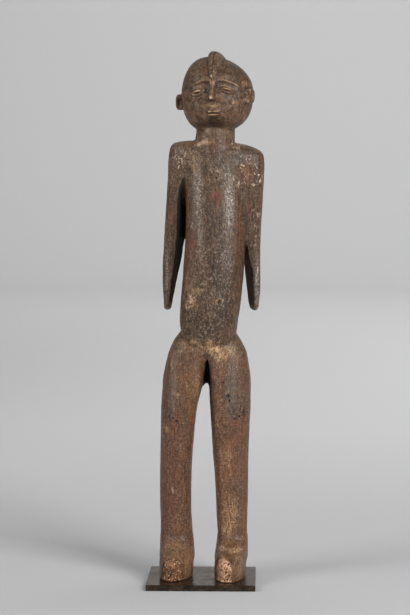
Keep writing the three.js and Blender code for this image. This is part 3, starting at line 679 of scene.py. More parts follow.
# Patches of wear and stain on the front of the body, with painted light, painted shade and painted sheen among them: x,
# z, half sizes, strength, softness.
PATCHES = {
    "worn_and_painted_light": [
        (12.4, 239.3, 7.2, 5.2, 1.0, 0.6), (7.4, 244.6, 5.0, 4.0, 0.9, 0.6), (19.8, 242.0, 4.5, 3.0, 0.45, 0.7),
        (20.0, 234.0, 6.0, 6.0, 0.95, 0.6), (30.4, 239.5, 4.5, 4.5, 0.5, 0.8), (6.0, 449.6, 6.1, 2.4, 0.35, 0.7),
        (35.7, 446.6, 5.0, 3.0, 0.4, 0.7), (-7.6, 425.5, 2.0, 8.0, 0.35, 0.7),
        (-10.0, 290.0, 3.4, 5.5, 0.95, 0.6), (-3.0, 300.0, 5.5, 2.6, 0.5, 0.8), (-14.0, 284.3, 1.8, 3.4, 0.8, 0.7),
        (-30.7, 223.5, 1.2, 5.0, 0.6, 0.7), (-35.8, 158.3, 2.0, 3.0, 0.7, 0.7), (-24.9, 193.3, 2.5, 3.0, 0.6, 0.7),
        (-4.7, 203.2, 3.0, 14.0, 0.45, 0.8), (-28.5, 95.8, 2.5, 3.0, 0.7, 0.7), (24.8, 126.4, 5.0, 10.0, 0.4, 0.8),
        (29.8, 68.9, 6.1, 18.0, 0.5, 0.8), (25.8, 53.3, 6.1, 5.0, 0.6, 0.7), (21.0, 36.2, 5.0, 2.0, 0.7, 0.6),
        # the patch at x -13.6 is painted light on the left foot's inner side
        (34.0, 34.6, 8.0, 2.2, 0.8, 0.6), (-13.6, 20.1, 4.0, 10.0, 0.45, 0.8), (-28.2, 36.1, 10.1, 6.0, 0.35, 0.8),
        (39.4, 19.4, 5.0, 12.0, 0.35, 0.8), (33.5, 276.0, 2.5, 10.0, 0.12, 0.8),
    ],
    "red": [
        (14.7, 394.3, 7.5, 6.5, 1.0, 0.6), (45.8, 419.4, 6.1, 12.0, 0.6, 0.8), (36.8, 365.9, 3.0, 10.0, 0.6, 0.8),
        (-25.5, 168.6, 3.0, 7.5, 1.0, 0.7), (-31.0, 166.0, 5.0, 5.0, 0.5, 0.8), (33.5, 165.0, 5.0, 4.6, 1.0, 0.7), (17.0, 444.0, 12.0, 7.0, 0.4, 0.8),
        (-32.4, 374.7, 4.0, 12.0, 0.5, 0.8), (48.9, 375.8, 3.0, 20.0, 0.6, 0.8), (30.0, 128.0, 12.0, 26.0, 0.3, 0.9),
        (-30.0, 100.0, 8.0, 40.0, 0.25, 0.9), (22.0, 209.0, 3.0, 5.0, 0.6, 0.8), (-10.0, 345.0, 6.0, 12.0, 0.35, 0.9),
    ],
    "speck": [
        (40.0, 413.0, 6.5, 8.5, 1.0, 0.6),
        (45.8, 425.5, 7.1, 11.0, 1.0, 0.6), (55.9, 413.4, 6.1, 12.0, 1.0, 0.6), (26.7, 416.4, 12.1, 9.0, 0.9, 0.7),
        (-23.9, 428.5, 9.1, 12.0, 0.7, 0.7), (35.7, 446.6, 6.1, 5.0, 0.9, 0.7), (-7.6, 368.0, 5.0, 6.0, 0.9, 0.7),
        (-2.5, 393.3, 4.0, 26.0, 0.6, 0.8), (3.8, 265.4, 24.2, 18.0, 0.28, 0.8), (12.7, 237.3, 11.1, 9.0, 0.6, 0.6),
        (56.0, 375.0, 6.0, 30.0, 0.5, 0.8), (16.0, 320.0, 22.0, 40.0, 0.3, 0.8),
        (18.6, 288.6, 5.5, 5.5, 0.9, 0.6), (8.0, 248.0, 14.0, 5.0, 0.6, 0.7),
    ],
    # painted sheen where highlights lie on the chest, the thighs and the arms' ridges, over a greyish film
    "film_and_painted_sheen": [
        (27.5, 395.0, 3.4, 9.0, 1.0, 0.6), (29.2, 382.0, 3.4, 16.0, 1.0, 0.7), (29.6, 384.0, 3.6, 24.0, 0.4, 0.7), (27.0, 418.0, 4.0, 10.0, 0.35, 0.7),
        (-4.0, 398.0, 4.2, 26.0, 0.4, 0.8), (-0.6, 356.0, 2.4, 18.0, 0.5, 0.8), (-29.0, 197.0, 2.8, 28.0, 0.7, 0.7),
        (30.5, 199.0, 6.5, 26.0, 0.55, 0.8), (27.0, 334.0, 6.0, 14.0, 0.2, 0.8), (-36.1, 319.5, 1.5, 20.0, 0.7, 0.7),
        (56.0, 307.3, 1.8, 26.0, 0.9, 0.7),
    ],
    # grey film, with painted sheen on the chest and the thighs
    "grey_film_and_sheen": [
        (25.0, 388.0, 8.0, 40.0, 0.55, 0.7), (-3.6, 394.0, 4.5, 36.0, 0.3, 0.8), (22.0, 336.0, 10.0, 24.0, 0.2, 0.8),
        (-30.0, 195.0, 7.0, 24.0, 0.6, 0.8), (31.0, 200.0, 11.0, 26.0, 0.7, 0.8), (-28.0, 240.0, 7.0, 10.0, 0.35, 0.8),
        (34.0, 232.0, 7.0, 14.0, 0.5, 0.8), (52.0, 300.0, 5.0, 22.0, 0.5, 0.8), (32.5, 238.0, 5.0, 9.0, 0.8, 0.7), (47.0, 405.0, 10.0, 16.0, 0.3, 0.8),
        (-14.0, 436.0, 16.0, 9.0, 0.3, 0.8), (21.0, 480.0, 12.0, 8.0, 0.2, 0.8),
    ],
    "stain_and_painted_shade": [
        (4.5, 267.0, 26.0, 19.0, 0.85, 0.5), (38.8, 395.2, 5.0, 14.0, 0.6, 0.7), (12.0, 318.0, 7.0, 22.0, 0.6, 0.9),
        (10.0, 300.0, 28.0, 30.0, 0.55, 0.9), (10.0, 375.0, 9.0, 30.0, 0.5, 0.9), (-14.0, 425.0, 24.0, 14.0, 0.3, 0.9),
        (-28.0, 380.0, 8.0, 50.0, 0.3, 0.9), (44.0, 350.0, 6.0, 50.0, 0.3, 0.9), (4.5, 238.0, 3.4, 6.0, 1.0, 0.7), (12.0, 231.5, 5.0, 3.0, 0.7, 0.7),
        (-31.2, 171.5, 7.5, 5.5, 0.7, 0.7), (37.5, 176.4, 8.0, 7.0, 0.75, 0.7), (26.9, 191.5, 2.0, 3.0, 0.9, 0.6),
        (42.6, 174.5, 2.0, 4.0, 0.8, 0.7), (-16.9, 420.4, 2.0, 8.0, 0.5, 0.8), (10.0, 425.0, 12.0, 12.0, 0.35, 0.9),
        (12.0, 352.0, 17.0, 40.0, 0.5, 0.9), (27.0, 176.0, 6.0, 4.0, 0.5, 0.8),
    ],
    "gold_and_painted_light": [
        (25.8, 127.4, 7.1, 19.0, 0.7, 0.7), (28.8, 61.1, 12.1, 27.5, 0.6, 0.7), (-25.0, 42.7, 12.6, 20.0, 0.5, 0.8),
        # the patch at x -12.7 is painted light on the left foot's inner side
        (-12.7, 22.2, 4.0, 12.5, 0.9, 0.7), (14.6, 177.7, 4.0, 30.0, 0.7, 0.7), (-9.3, 187.9, 5.6, 20.0, 0.7, 0.7),
        (39.0, 19.0, 7.0, 12.0, 0.6, 0.7), (-28.0, 30.0, 14.0, 10.0, 0.2, 0.8), (12.0, 238.0, 13.0, 12.0, 0.8, 0.8),
        (-32.0, 160.0, 5.0, 7.0, 0.8, 0.8), (-14.0, 300.0, 5.0, 16.0, 0.5, 0.8),
    ],
}
# Paler and darker areas, partly of the patina and partly painted light and painted shade: x, z, half sizes, softness,
# factor.
TONES_AND_PAINTED_LIGHT = [
    # chest, trunk and belly: the pale patch at x 27.5 is a painted highlight on the chest, the pale strip at x -15 is
    # painted light on the trunk's left side and the dark patch at x 33 is painted shade on its right side
    (12.0, 369.0, 12.0, 28.0, 0.9, 0.84), (10.0, 360.0, 5.0, 16.0, 0.9, 0.84), (25.0, 326.0, 11.0, 38.0, 0.9, 0.80),
    (33.0, 333.0, 8.0, 22.0, 0.9, 0.74), (10.0, 319.0, 16.0, 22.0, 0.9, 0.88), (10.0, 272.0, 23.0, 20.0, 0.9, 0.88),
    (-0.5, 350.0, 3.5, 20.0, 0.9, 1.35), (-5.5, 382.0, 2.5, 34.0, 0.9, 0.72), (-15.0, 388.0, 3.0, 34.0, 0.9, 1.40),
    (-8.0, 436.0, 6.0, 6.0, 0.9, 1.30), (28.0, 412.0, 6.0, 9.0, 0.9, 0.85), (41.0, 413.0, 7.0, 9.0, 0.9, 1.30),
    (45.0, 436.0, 11.0, 7.0, 0.9, 0.70), (57.0, 422.0, 5.0, 12.0, 0.9, 0.78),
    (22.0, 440.0, 7.0, 7.0, 0.9, 0.84), (0.5, 414.0, 3.5, 15.0, 0.9, 0.80), (47.0, 418.0, 5.0, 6.0, 0.9, 1.25),
    (27.5, 389.0, 4.5, 13.0, 0.9, 1.50), (28.0, 354.0, 4.5, 9.0, 0.9, 1.20), (-8.0, 361.0, 5.0, 5.0, 0.9, 0.80), (17.0, 326.0, 8.0, 32.0, 0.9, 0.80), (31.0, 279.0, 5.0, 14.0, 0.9, 0.68),
    (-15.5, 330.0, 3.0, 28.0, 0.9, 1.25),
    # arms: the dark patches at x -25.5 and -29.6 are painted shade on the left arm's inner side
    (52.0, 373.0, 8.0, 30.0, 0.9, 0.88), (54.0, 309.0, 6.0, 22.0, 0.9, 0.86), (-26.0, 386.0, 7.0, 38.0, 0.9, 0.85),
    (-31.5, 417.0, 3.5, 14.0, 0.9, 1.50), (-37.0, 352.0, 3.0, 18.0, 0.9, 1.35), (-25.5, 350.0, 3.5, 24.0, 0.9, 0.50),
    (-29.6, 327.0, 4.0, 26.0, 0.9, 0.58), (-20.0, 398.0, 4.0, 14.0, 0.8, 1.25),
    # hips and legs: the pale patch at x 1 is painted light over the shadow under the belly, the one at x -12.7 painted
    # light on the left foot's inner side
    (1.0, 245.0, 13.0, 6.0, 0.8, 1.55), (-17.0, 246.0, 9.0, 6.0, 0.9, 1.30), (-27.0, 236.0, 12.0, 10.0, 0.9, 1.35),
    (33.0, 236.0, 7.0, 9.0, 0.9, 1.42), (24.0, 245.5, 7.0, 4.0, 0.9, 0.82), (4.5, 236.0, 4.0, 7.0, 0.9, 0.86), (14.0, 235.4, 3.5, 3.0, 0.9, 0.80), (-20.0, 211.0, 15.0, 20.0, 0.9, 1.08), (31.0, 205.0, 14.0, 24.0, 0.9, 1.06),
    (18.0, 190.0, 4.0, 30.0, 0.9, 1.22), (31.0, 113.0, 14.0, 32.0, 0.9, 1.25), (22.0, 92.0, 3.5, 24.0, 0.9, 1.30),
    (28.5, 88.0, 3.0, 14.0, 0.9, 0.85), (31.0, 57.0, 14.0, 22.0, 0.9, 1.06), (36.0, 20.0, 12.0, 14.0, 0.9, 0.84),
    (-22.0, 42.0, 11.0, 9.0, 0.9, 0.84), (-26.0, 28.0, 9.0, 8.0, 0.9, 0.76), (30.0, 28.0, 6.0, 6.0, 0.9, 0.78), (-12.7, 22.0, 5.0, 12.0, 0.8, 1.30),
    # neck: the pale patches at x 14 and 15 are painted light where the head's shadow falls on the top of the neck
    (14.0, 458.0, 22.0, 10.0, 0.9, 1.25), (15.0, 461.5, 15.0, 3.5, 0.7, 1.50), (8.0, 457.0, 5.0, 6.0, 0.9, 0.80), (-3.0, 451.0, 5.0, 4.0, 0.9, 1.25),
]


def masks(p, n, lattice):
    """Named patches of colour and wear, and of painted light and shade, 0 to 1 at each vertex."""
    x, y, z = p.T
    open_room = sample(lattice, p + 3.0 * n)
    near = sample(lattice, p + 1.3 * n)
    # painted shade where little open space lies in front of the surface
    painted_hollow_shade = np.clip(1 - open_room / 2.9, 0, 1) * 0.7 + np.clip(1 - near / 1.25, 0, 1) * 0.6
    # bending of the surface: above 0 on edges, below 0 in creases
    reach = 1.0
    bend = -6 * sample(lattice, p)
    for axis in range(3):
        for sign in (-reach, reach):
            q = p.copy()
            q[:, axis] += sign
            bend = bend + sample(lattice, q)
    seam = step(1.6, 2.6, np.abs(z - 45)) * step(1.6, 2.6, np.abs(z - 452))
    bend = bend / reach**2 * seam
    rough = rounded_noise(x, y, z, (6, 6, 8), 31, 3)
    broken = step(-0.45, 0.5, noise(x, y, z, (2.2, 2.2, 3.0), 41))
    # pale on convex edges: rubbed wear, and painted highlights along the ridges
    edge = np.clip((bend - 0.32) / 0.8, 0, 1) * (0.1 + 0.9 * broken) * (1 - 0.45 * step(462, 470, z))
    # painted shade in the creases
    painted_crease_shade = np.clip((-bend - 0.08) / 0.6, 0, 1)
    ahead = 1 - step(-30, -22, y)
    fresh = right_break(x + 0.5 * rough, z + 0.5 * rough) * ahead * (x > 0)
    eaten = left_break(x + 0.9 * rough, z + 0.9 * rough) * ahead * (x < 0)
    found = {}
    for name, patches in PATCHES.items():
        total = 0 * x
        for px, pz, rx, rz, strength, soft in patches:
            total = np.maximum(total, strength * spot(p, n, px, pz, rx, rz, soft))
        found[name] = total
    found["worn_and_painted_light"] = found["worn_and_painted_light"] * step(-1.2, 0.2, rough + 0.3)
    # the rim of the small hole, and the worn edge under the belly, widened into painted light over the shadow below the
    # belly
    front = step(0.1, 0.5, facing(n))
    rim = np.hypot(x - 18.6, z - 288.6)
    fold, _ = segment(x, z, (-9.5, 248.4), (3.0, 242.0))
    rim = rim + 0.9 * noise(x, y, z, (1.9, 1.9, 1.9), 13)
    found["worn_and_painted_light"] = np.maximum(found["worn_and_painted_light"], 0.8 * np.exp(-(((rim - 3.1) / 0.7) ** 2)) * front * broken)
    found["stain_and_painted_shade"] = np.maximum(found["stain_and_painted_shade"], np.exp(-((rim / 2.2) ** 2)) * front)
    checks = 11.6 + 0.9 * np.sin(z * 0.31) + 0.5 * np.sin(z * 0.83)
    found["stain_and_painted_shade"] = np.maximum(found["stain_and_painted_shade"], np.exp(-(((x - checks) / 1.6) ** 2)) * step(300, 306, z) * (1 - step(330, 338, z)) * front * broken)
    found["worn_and_painted_light"] = np.maximum(found["worn_and_painted_light"], 0.75 * np.exp(-((fold / 2.0) ** 2)) * front)
    gloss = np.maximum(found["grey_film_and_sheen"], 0.35 * (z < 230) * (z > 60))
    gloss = np.maximum(gloss, 0.3 * spot(p, n, 14.0, 330.0, 26.0, 90.0, 0.8))
    calm = 1 - step(212, 250, z)
    # black knots, with a painted glint on the upper rim
    pit, glint = 0 * x, 0 * x
    for kx, kz, r in KNOTS:
        away = np.hypot((x - kx) / r, (z - kz) / (1.4 * r)) + 0.6 * noise(x, y, z, (1.5, 1.5, 1.9), 14)
        pit = np.maximum(pit, (1 - step(0.1, 1.3, away)) * front)
        glint = np.maximum(glint, np.exp(-(((away - 1.1) / 0.3) ** 2)) * step(-0.3, 0.6, (z - kz) / r) * front)
    # dust on the chest's left corner, and painted highlights: two spots on the chest's right side and the glints on the
    # knots' rims
    corner = -4.8 + 0.07 * (400 - z) * (z < 400) - 0.03 * (z - 400) * (z > 400)
    dust_and_painted_sheen = 0.45 * np.exp(-(((x - corner) / 4.0) ** 2)) * step(350, 380, z) * (1 - step(420, 436, z)) * front
    dust_and_painted_sheen = np.maximum(dust_and_painted_sheen, 0.45 * spot(p, n, 26.5, 388.0, 5.0, 30.0, 0.7))
    dust_and_painted_sheen = np.maximum(dust_and_painted_sheen, 0.95 * spot(p, n, 27.2, 391.0, 4.8, 15.0, 0.8))
    dust_and_painted_sheen = np.maximum(dust_and_painted_sheen, 0.95 * glint * broken)
    # warmer wood: the legs and what looks sideways
    warm = 0.8 * (1 - step(215, 262, z)) + 0.3 * step(0.3, 0.8, np.abs(n[:, 0])) * (z < 455)
    u, f, v = face_frame(x, y, z)
    on_head = step(462, 470, z)
    lon = np.degrees(np.arctan2(u, f))
    lat = np.degrees(np.arctan2(v, np.hypot(u, f)))
    on_face = on_head * step(-2.0, 3.0, f)
    side = step(27.2, 28.6, u) * (1 - step(14, 20, v))
    warm = warm * (1 - on_head) + on_face * (
        0.6 * side + 0.7 * (1 - step(-32, -24, u)) * (1 - step(-2, 4, v))
        + 0.9 * bump(u + 8.0, v - 7.0, 8.5, 4.6, 0.8) + 0.7 * bump(u - 10.5, v + 5.0, 6.0, 7.0, 0.8)
        + 0.9 * bump(u - 1.5, v - 9.5, 4.5, 3.6, 0.7) + 0.45 * (1 - step(-22, -12, v))
        + 0.6 * bump(u - 6.5, v + 2.0, 4.0, 7.0, 0.8) + 0.5 * bump(u + 12.0, v + 5.0, 7.0, 2.0, 0.8)
    )
    found["red"] = np.maximum(found["red"], on_face * 0.5 * bump(u + 5.4 - 0.06 * (v - 20), v - 21.0, 2.2, 9.0, 0.9))
    found["red"] = np.maximum(found["red"], on_face * 0.5 * bump(u - 20.0, v + 1.0, 7.0, 3.0, 0.8))
    # dark stains on the face, and painted shade under the chin and the nose, beside the nose and in the eye slits
    found["stain_and_painted_shade"] = np.maximum(found["stain_and_painted_shade"], on_face * np.clip(
        1.0 * bump(u - 1.6, v + 28.0, 7.5, 4.4, 0.7) + 0.7 * bump(u - 11.0, v + 27.0, 7.0, 3.4, 0.9) + 0.9 * bump(u + 1.0, v + 33.5, 19.0, 4.2, 0.8)
        + 0.9 * bump(u + 5.4, v - 1.5, 1.6, 3.2, 0.7) + 0.5 * bump(u - 9.0, v - 8.0, 4.6, 3.2, 0.8)
        + 0.45 * bump(u - 14.0, v - 22.0, 14.0, 8.0, 0.9) + 0.5 * bump(u + 37.0, v + 9.0, 3.0, 5.5, 0.6) * (f > 4)
        + 0.6 * bump(u - 17.0, v - 0.8, 5.5, 1.6, 0.7) + 0.6 * bump(u + 14.5, v + 1.6, 5.0, 1.3, 0.7)
        + 0.8 * bump(u - 1.0, v + 9.2, 2.4, 1.4, 0.7) + 0.5 * bump(u - 27.6, v + 3.0, 0.9, 12.0, 0.7)
        + 0.5 * bump(u - 30.0, v - 1.5, 2.2, 1.6, 0.8) + 0.5 * bump(u - 30.0, v + 12.0, 2.2, 2.0, 0.8)
        + 0.2 * side, 0, 1))
    # grey film on the face, and painted light on the right cheek
    found["grey_film_and_sheen"] = np.maximum(found["grey_film_and_sheen"], on_face * np.clip(
        0.9 * bump(u - 20.5, v + 10.0, 8.0, 8.0, 0.9) + 0.6 * bump(u - 24.5, v - 0.5, 3.0, 4.0, 0.8)
        + 0.4 * bump(u + 18.0, v - 22.0, 9.0, 10.0, 0.9) + 0.5 * bump(u - 8.0, v - 37.0, 6.0, 4.0, 0.9), 0, 1))
    # pale worn wood on the face, with painted highlights on the eyelids, the nose's tip and the right cheek
    found["worn_and_painted_light"] = np.maximum(found["worn_and_painted_light"], on_face * np.clip(
        1.0 * bump(u - 0.8, v + 5.6, 1.9, 1.8, 0.6) + 0.6 * bump(u + 0.5, v + 1.0, 0.6, 4.0, 0.7)
        + 1.0 * bump(u + 1.3, v + 19.4, 1.5, 0.9, 0.6) + 0.7 * bump(u - 5.6, v + 19.5, 2.8, 0.7, 0.7)
        + 0.8 * bump(u - 1.6, v + 22.2, 4.2, 0.7, 0.7) + 0.4 * bump(u - 8.5, v + 17.9, 1.1, 0.9, 0.7)
        + 0.5 * bump(u - 1.0, v - 9.5, 3.2, 3.0, 0.8) + 0.9 * bump(u + 14.2, v - 1.3 - 0.25 * (u + 14.2), 3.0, 0.75, 0.7)
        + 0.7 * bump(u - 16.2, v - 3.1 + 0.22 * (u - 16.2), 3.0, 0.6, 0.7) + 0.6 * bump(u + 18.5, v + 2.0, 1.4, 1.0, 0.7)
        + 0.9 * bump(u - 21.6, v + 9.8, 1.8, 1.9, 0.7) + 0.5 * bump(u - 2.3, v + 13.5, 6.0, 3.0, 0.9)
        + 0.6 * bump(lon - 62.0, lat - 14.0, 7.0, 4.5, 0.9) + 0.7 * bump(lon - 71.0, lat - 3.4, 3.0, 2.6, 0.8)
        + 0.5 * bump(lon - 66.0, lat + 13.6, 4.0, 3.0, 0.8) + 0.6 * bump(lon - 80.0, lat + 6.0, 3.0, 4.0, 0.8)
        + 0.8 * bump(u - 1.0, v - 15.8, 1.2, 1.8, 0.7) + 0.6 * bump(u - 23.8, v - 7.4 + 0.6 * (u - 23.8), 2.6, 0.7, 0.7)
        + 0.5 * bump(u + 14.0, v - 9.6 - 0.42 * (u + 14.0), 5.5, 0.6, 0.7) + 0.4 * bump(u - 3.4, v - 21.0, 0.7, 6.0, 0.8), 0, 1))
    gloss = np.maximum(gloss, found["grey_film_and_sheen"])
    brow = np.interp(u, *zip(*BROW))
    reach_u = np.where(u < 1.5, (1.5 - u) / 21.0, (u - 1.5) / 24.5)
    # thin pale lines of rubbed brows, lips and knob, and painted highlights along the eyelids
    thin = np.exp(-(((brow - v + 0.2) / 0.45) ** 2)) * step(0.3, 0.5, reach_u) * (1 - step(0.98, 1.08, reach_u)) * (0.30 + 0.12 * (u > 0) + 0.2 * broken)
    eu, ev = u + 14.4, v - 0.1 - 0.20 * (u + 14.4)
    thin = np.maximum(thin, 1.0 * line_profile(eu, ev, [(-3.6, 0.4), (0.2, 1.3), (3.4, 0.9)], 0.75, 2))
    thin = np.maximum(thin, 0.25 * line_profile(eu, ev, [(-5.2, -1.5), (-1.5, -2.6), (2.6, -2.5)], 0.6, 2))
    eu, ev = u - 16.0, v - 2.1 + 0.24 * (u - 16.0)
    thin = np.maximum(thin, 0.6 * line_profile(eu, ev, [(-3.4, 1.3), (0.0, 1.3), (3.6, 0.7)], 0.6, 2))
    thin = np.maximum(thin, 0.45 * line_profile(u, v, [(9.0, 6.5), (13.5, 6.7), (17.0, 5.1), (21.5, 3.2)], 0.6, 2))
    thin = np.maximum(thin, 1.0 * bump(u + 1.5, v + 19.5, 1.5, 1.0, 0.7))
    thin = np.maximum(thin, 0.4 * line_profile(u, v, [(0.5, -19.2), (5.0, -18.8), (8.6, -18.0)], 0.8, 2) * (0.5 + 0.5 * broken))
    thin = np.maximum(thin, 0.5 * line_profile(u, v, [(-2.6, -22.0), (1.6, -22.5), (5.6, -22.2)], 0.8, 2))
    thin = np.maximum(thin, 0.9 * bump(u - 0.6, v + 5.8, 1.5, 1.6, 0.7))
    thin = np.maximum(thin, 0.55 * line_profile(u, v, [(-0.6, 3.0), (-0.6, -1.0), (-0.8, -5.0)], 0.6, 2))
    thin = np.maximum(thin, 0.8 * bump(u - 1.0, v - 15.8, 1.1, 1.8, 0.7))
    thin = thin * on_head * (f > 0)
    # pale rim round the top of the neck, rubbed wear carried on as painted light where the head's shadow falls, and a
    # pale collar stroke
    rim_z = 462.2 + 0.6 * noise(x, y, z, (9, 9, 9), 51)
    thin = np.maximum(thin, 0.9 * np.exp(-(((z - rim_z) / 1.7) ** 2)) * step(1, 6, x) * (1 - step(26, 30, x)) * front * (0.6 + 0.4 * broken))
    collar, _ = segment(x, z, (-3.5, 447.0), (6.5, 451.5))
    thin = np.maximum(thin, 0.9 * np.exp(-((collar / 1.7) ** 2)) * front * (0.5 + 0.5 * broken))
    tone_and_painted_light = 1 + 0 * x
    for tx, tz, rx, rz, soft, factor in TONES_AND_PAINTED_LIGHT:
        tone_and_painted_light = tone_and_painted_light * (1 + (factor - 1) * spot(p, n, tx, tz, rx, rz, soft))
    # on the face: painted light on both cheeks, painted shade under the jaw, and paler and darker patina elsewhere
    tone_and_painted_light = tone_and_painted_light * (1 + on_face * (
        0.34 * bump(u + 18.0, v + 12.0, 13.0, 13.0, 0.9) + 0.20 * bump(u - 19.0, v + 11.0, 10.0, 11.0, 0.9)
        - 0.10 * bump(u - 10.0, v - 22.0, 12.0, 9.0, 0.9) - 0.32 * bump(u - 26.0, v - 20.0, 10.0, 9.0, 0.9) - 0.20 * bump(u + 6.5, v - 18.0, 3.5, 8.0, 0.9)
        - 0.34 * bump(u + 7.5, v - 2.0, 4.5, 6.0, 0.9) - 0.30 * bump(u - 16.0, v - 1.5, 9.0, 8.0, 0.9)
        + 0.20 * bump(u + 29.0, v + 3.0, 5.0, 17.0, 0.9) + 0.22 * bump(u - 29.0, v + 5.0, 5.0, 10.0, 0.9)
        + 0.12 * bump(u - 12.5, v + 16.0, 10.0, 5.0, 0.9) - 0.52 * bump(u + 5.0, v + 33.0, 19.0, 5.0, 0.9)
        - 0.34 * bump(u - 23.0, v + 33.0, 7.0, 4.5, 0.9) + 0.12 * bump(u - 26.0, v + 12.0, 6.0, 8.0, 0.9)
        - 0.12 * bump(u - 7.0, v - 1.0, 2.6, 6.5, 0.9) + 0.14 * bump(u + 3.0, v + 15.5, 4.0, 4.5, 0.9) - 0.15 * bump(u - 23.5, v + 3.0, 2.0, 8.0, 0.9)
    ))
    edge = edge * (1 - 0.8 * on_head * bump(u - 23.5, v + 3.0, 4.0, 9.0, 0.7))
    warm = np.clip(warm, 0, 1)
    # painted shade on the faces that look into the gaps beside the trunk and between the legs, and under the chin
    look = n[:, 0]
    shade = step(0.15, 0.5, look) * (x < -16) * step(281, 290, z) * (1 - step(400, 420, z))
    shade = np.maximum(shade, 0.5 * step(0.2, 0.75, -look) * (x > 38) * step(281, 286, z) * (1 - step(335, 362, z)))
    shade = np.maximum(shade, 0.75 * step(0.55, 0.95, -look) * (x > 2) * (x < 24) * step(120, 200, z) * (1 - step(236, 244, z)))
    shade = np.maximum(shade, on_face * np.clip(0.45 * bump(u - 1.2, v + 27.8, 6.5, 4.0, 0.9) + 0.95 * bump(u - 0.5, v + 34.5, 22.0, 4.2, 0.8), 0, 0.92) * (0.75 + 0.25 * broken))
    painted_crease_shade = painted_crease_shade * (1 - 0.4 * on_head) * (1 - 0.6 * spot(p, n, -6.0, 246.0, 15.0, 7.0, 0.8))
    painted_hollow_shade = painted_hollow_shade * (1 - 0.7 * spot(p, n, -4.0, 245.0, 24.0, 7.0, 0.8))
    return dict(edge=edge, painted_crease_shade=painted_crease_shade, shade=shade, painted_hollow_shade=painted_hollow_shade, fresh=fresh, eaten=eaten, gloss=gloss, dust_and_painted_sheen=dust_and_painted_sheen, warm=warm, calm=calm, skull=on_head, pit=pit, thin=thin, tone_and_painted_light=tone_and_painted_light - 0.5, **found)


def make_carving():
    p, quads, lattice = build_surface()
    n = vertex_normals(p, quads)
    inside = sample(lattice, p + 0.8 * n) < sample(lattice, p - 0.8 * n)
    if inside.mean() > 0.5:
        quads = quads[:, ::-1]
        n = -n
    above = step(SOLE + 0.2, SOLE + 2.0, p[:, 2])
    p = p + n * (wear(p, n) * above)[:, None]
    p[:, 2] = np.maximum(p[:, 2], SOLE - 0.02)

    mesh = bpy.data.meshes.new("carving")
    mesh.vertices.add(len(p))
    mesh.vertices.foreach_set("co", (p * MM).astype(F32).ravel())
    mesh.loops.add(quads.size)
    mesh.loops.foreach_set("vertex_index", quads.astype(np.int32).ravel())
    mesh.polygons.add(len(quads))
    mesh.polygons.foreach_set("loop_start", np.arange(0, quads.size, 4, dtype=np.int32))
    mesh.update(calc_edges=True)
    obj = bpy.data.objects.new("carving", mesh)
    bpy.context.scene.collection.objects.link(obj)

    triangles = 2 * len(quads)
    target = 186_000
    if triangles > target:
        thin = obj.modifiers.new("thin", "DECIMATE")
        thin.ratio = target / triangles
        graph = bpy.context.evaluated_depsgraph_get()
        lighter = bpy.data.meshes.new_from_object(obj.evaluated_get(graph))
        obj.modifiers.clear()
        obj.data = lighter
        bpy.data.meshes.remove(mesh)
        mesh = lighter
        mesh.name = "carving"
    mesh.polygons.foreach_set("use_smooth", np.ones(len(mesh.polygons), dtype=bool))
    mesh.update()

    q = np.empty(len(mesh.vertices) * 3, F32)
    mesh.vertices.foreach_get("co", q)
    nn = np.empty(len(mesh.vertices) * 3, F32)
    mesh.vertex_normals.foreach_get("vector", nn)
    for name, value in masks(q.reshape(-1, 3) / MM, nn.reshape(-1, 3), lattice).items():
        layer = mesh.attributes.new(name, "FLOAT", "POINT")
        layer.data.foreach_set("value", np.clip(value, 0, 1).astype(F32))
    return obj


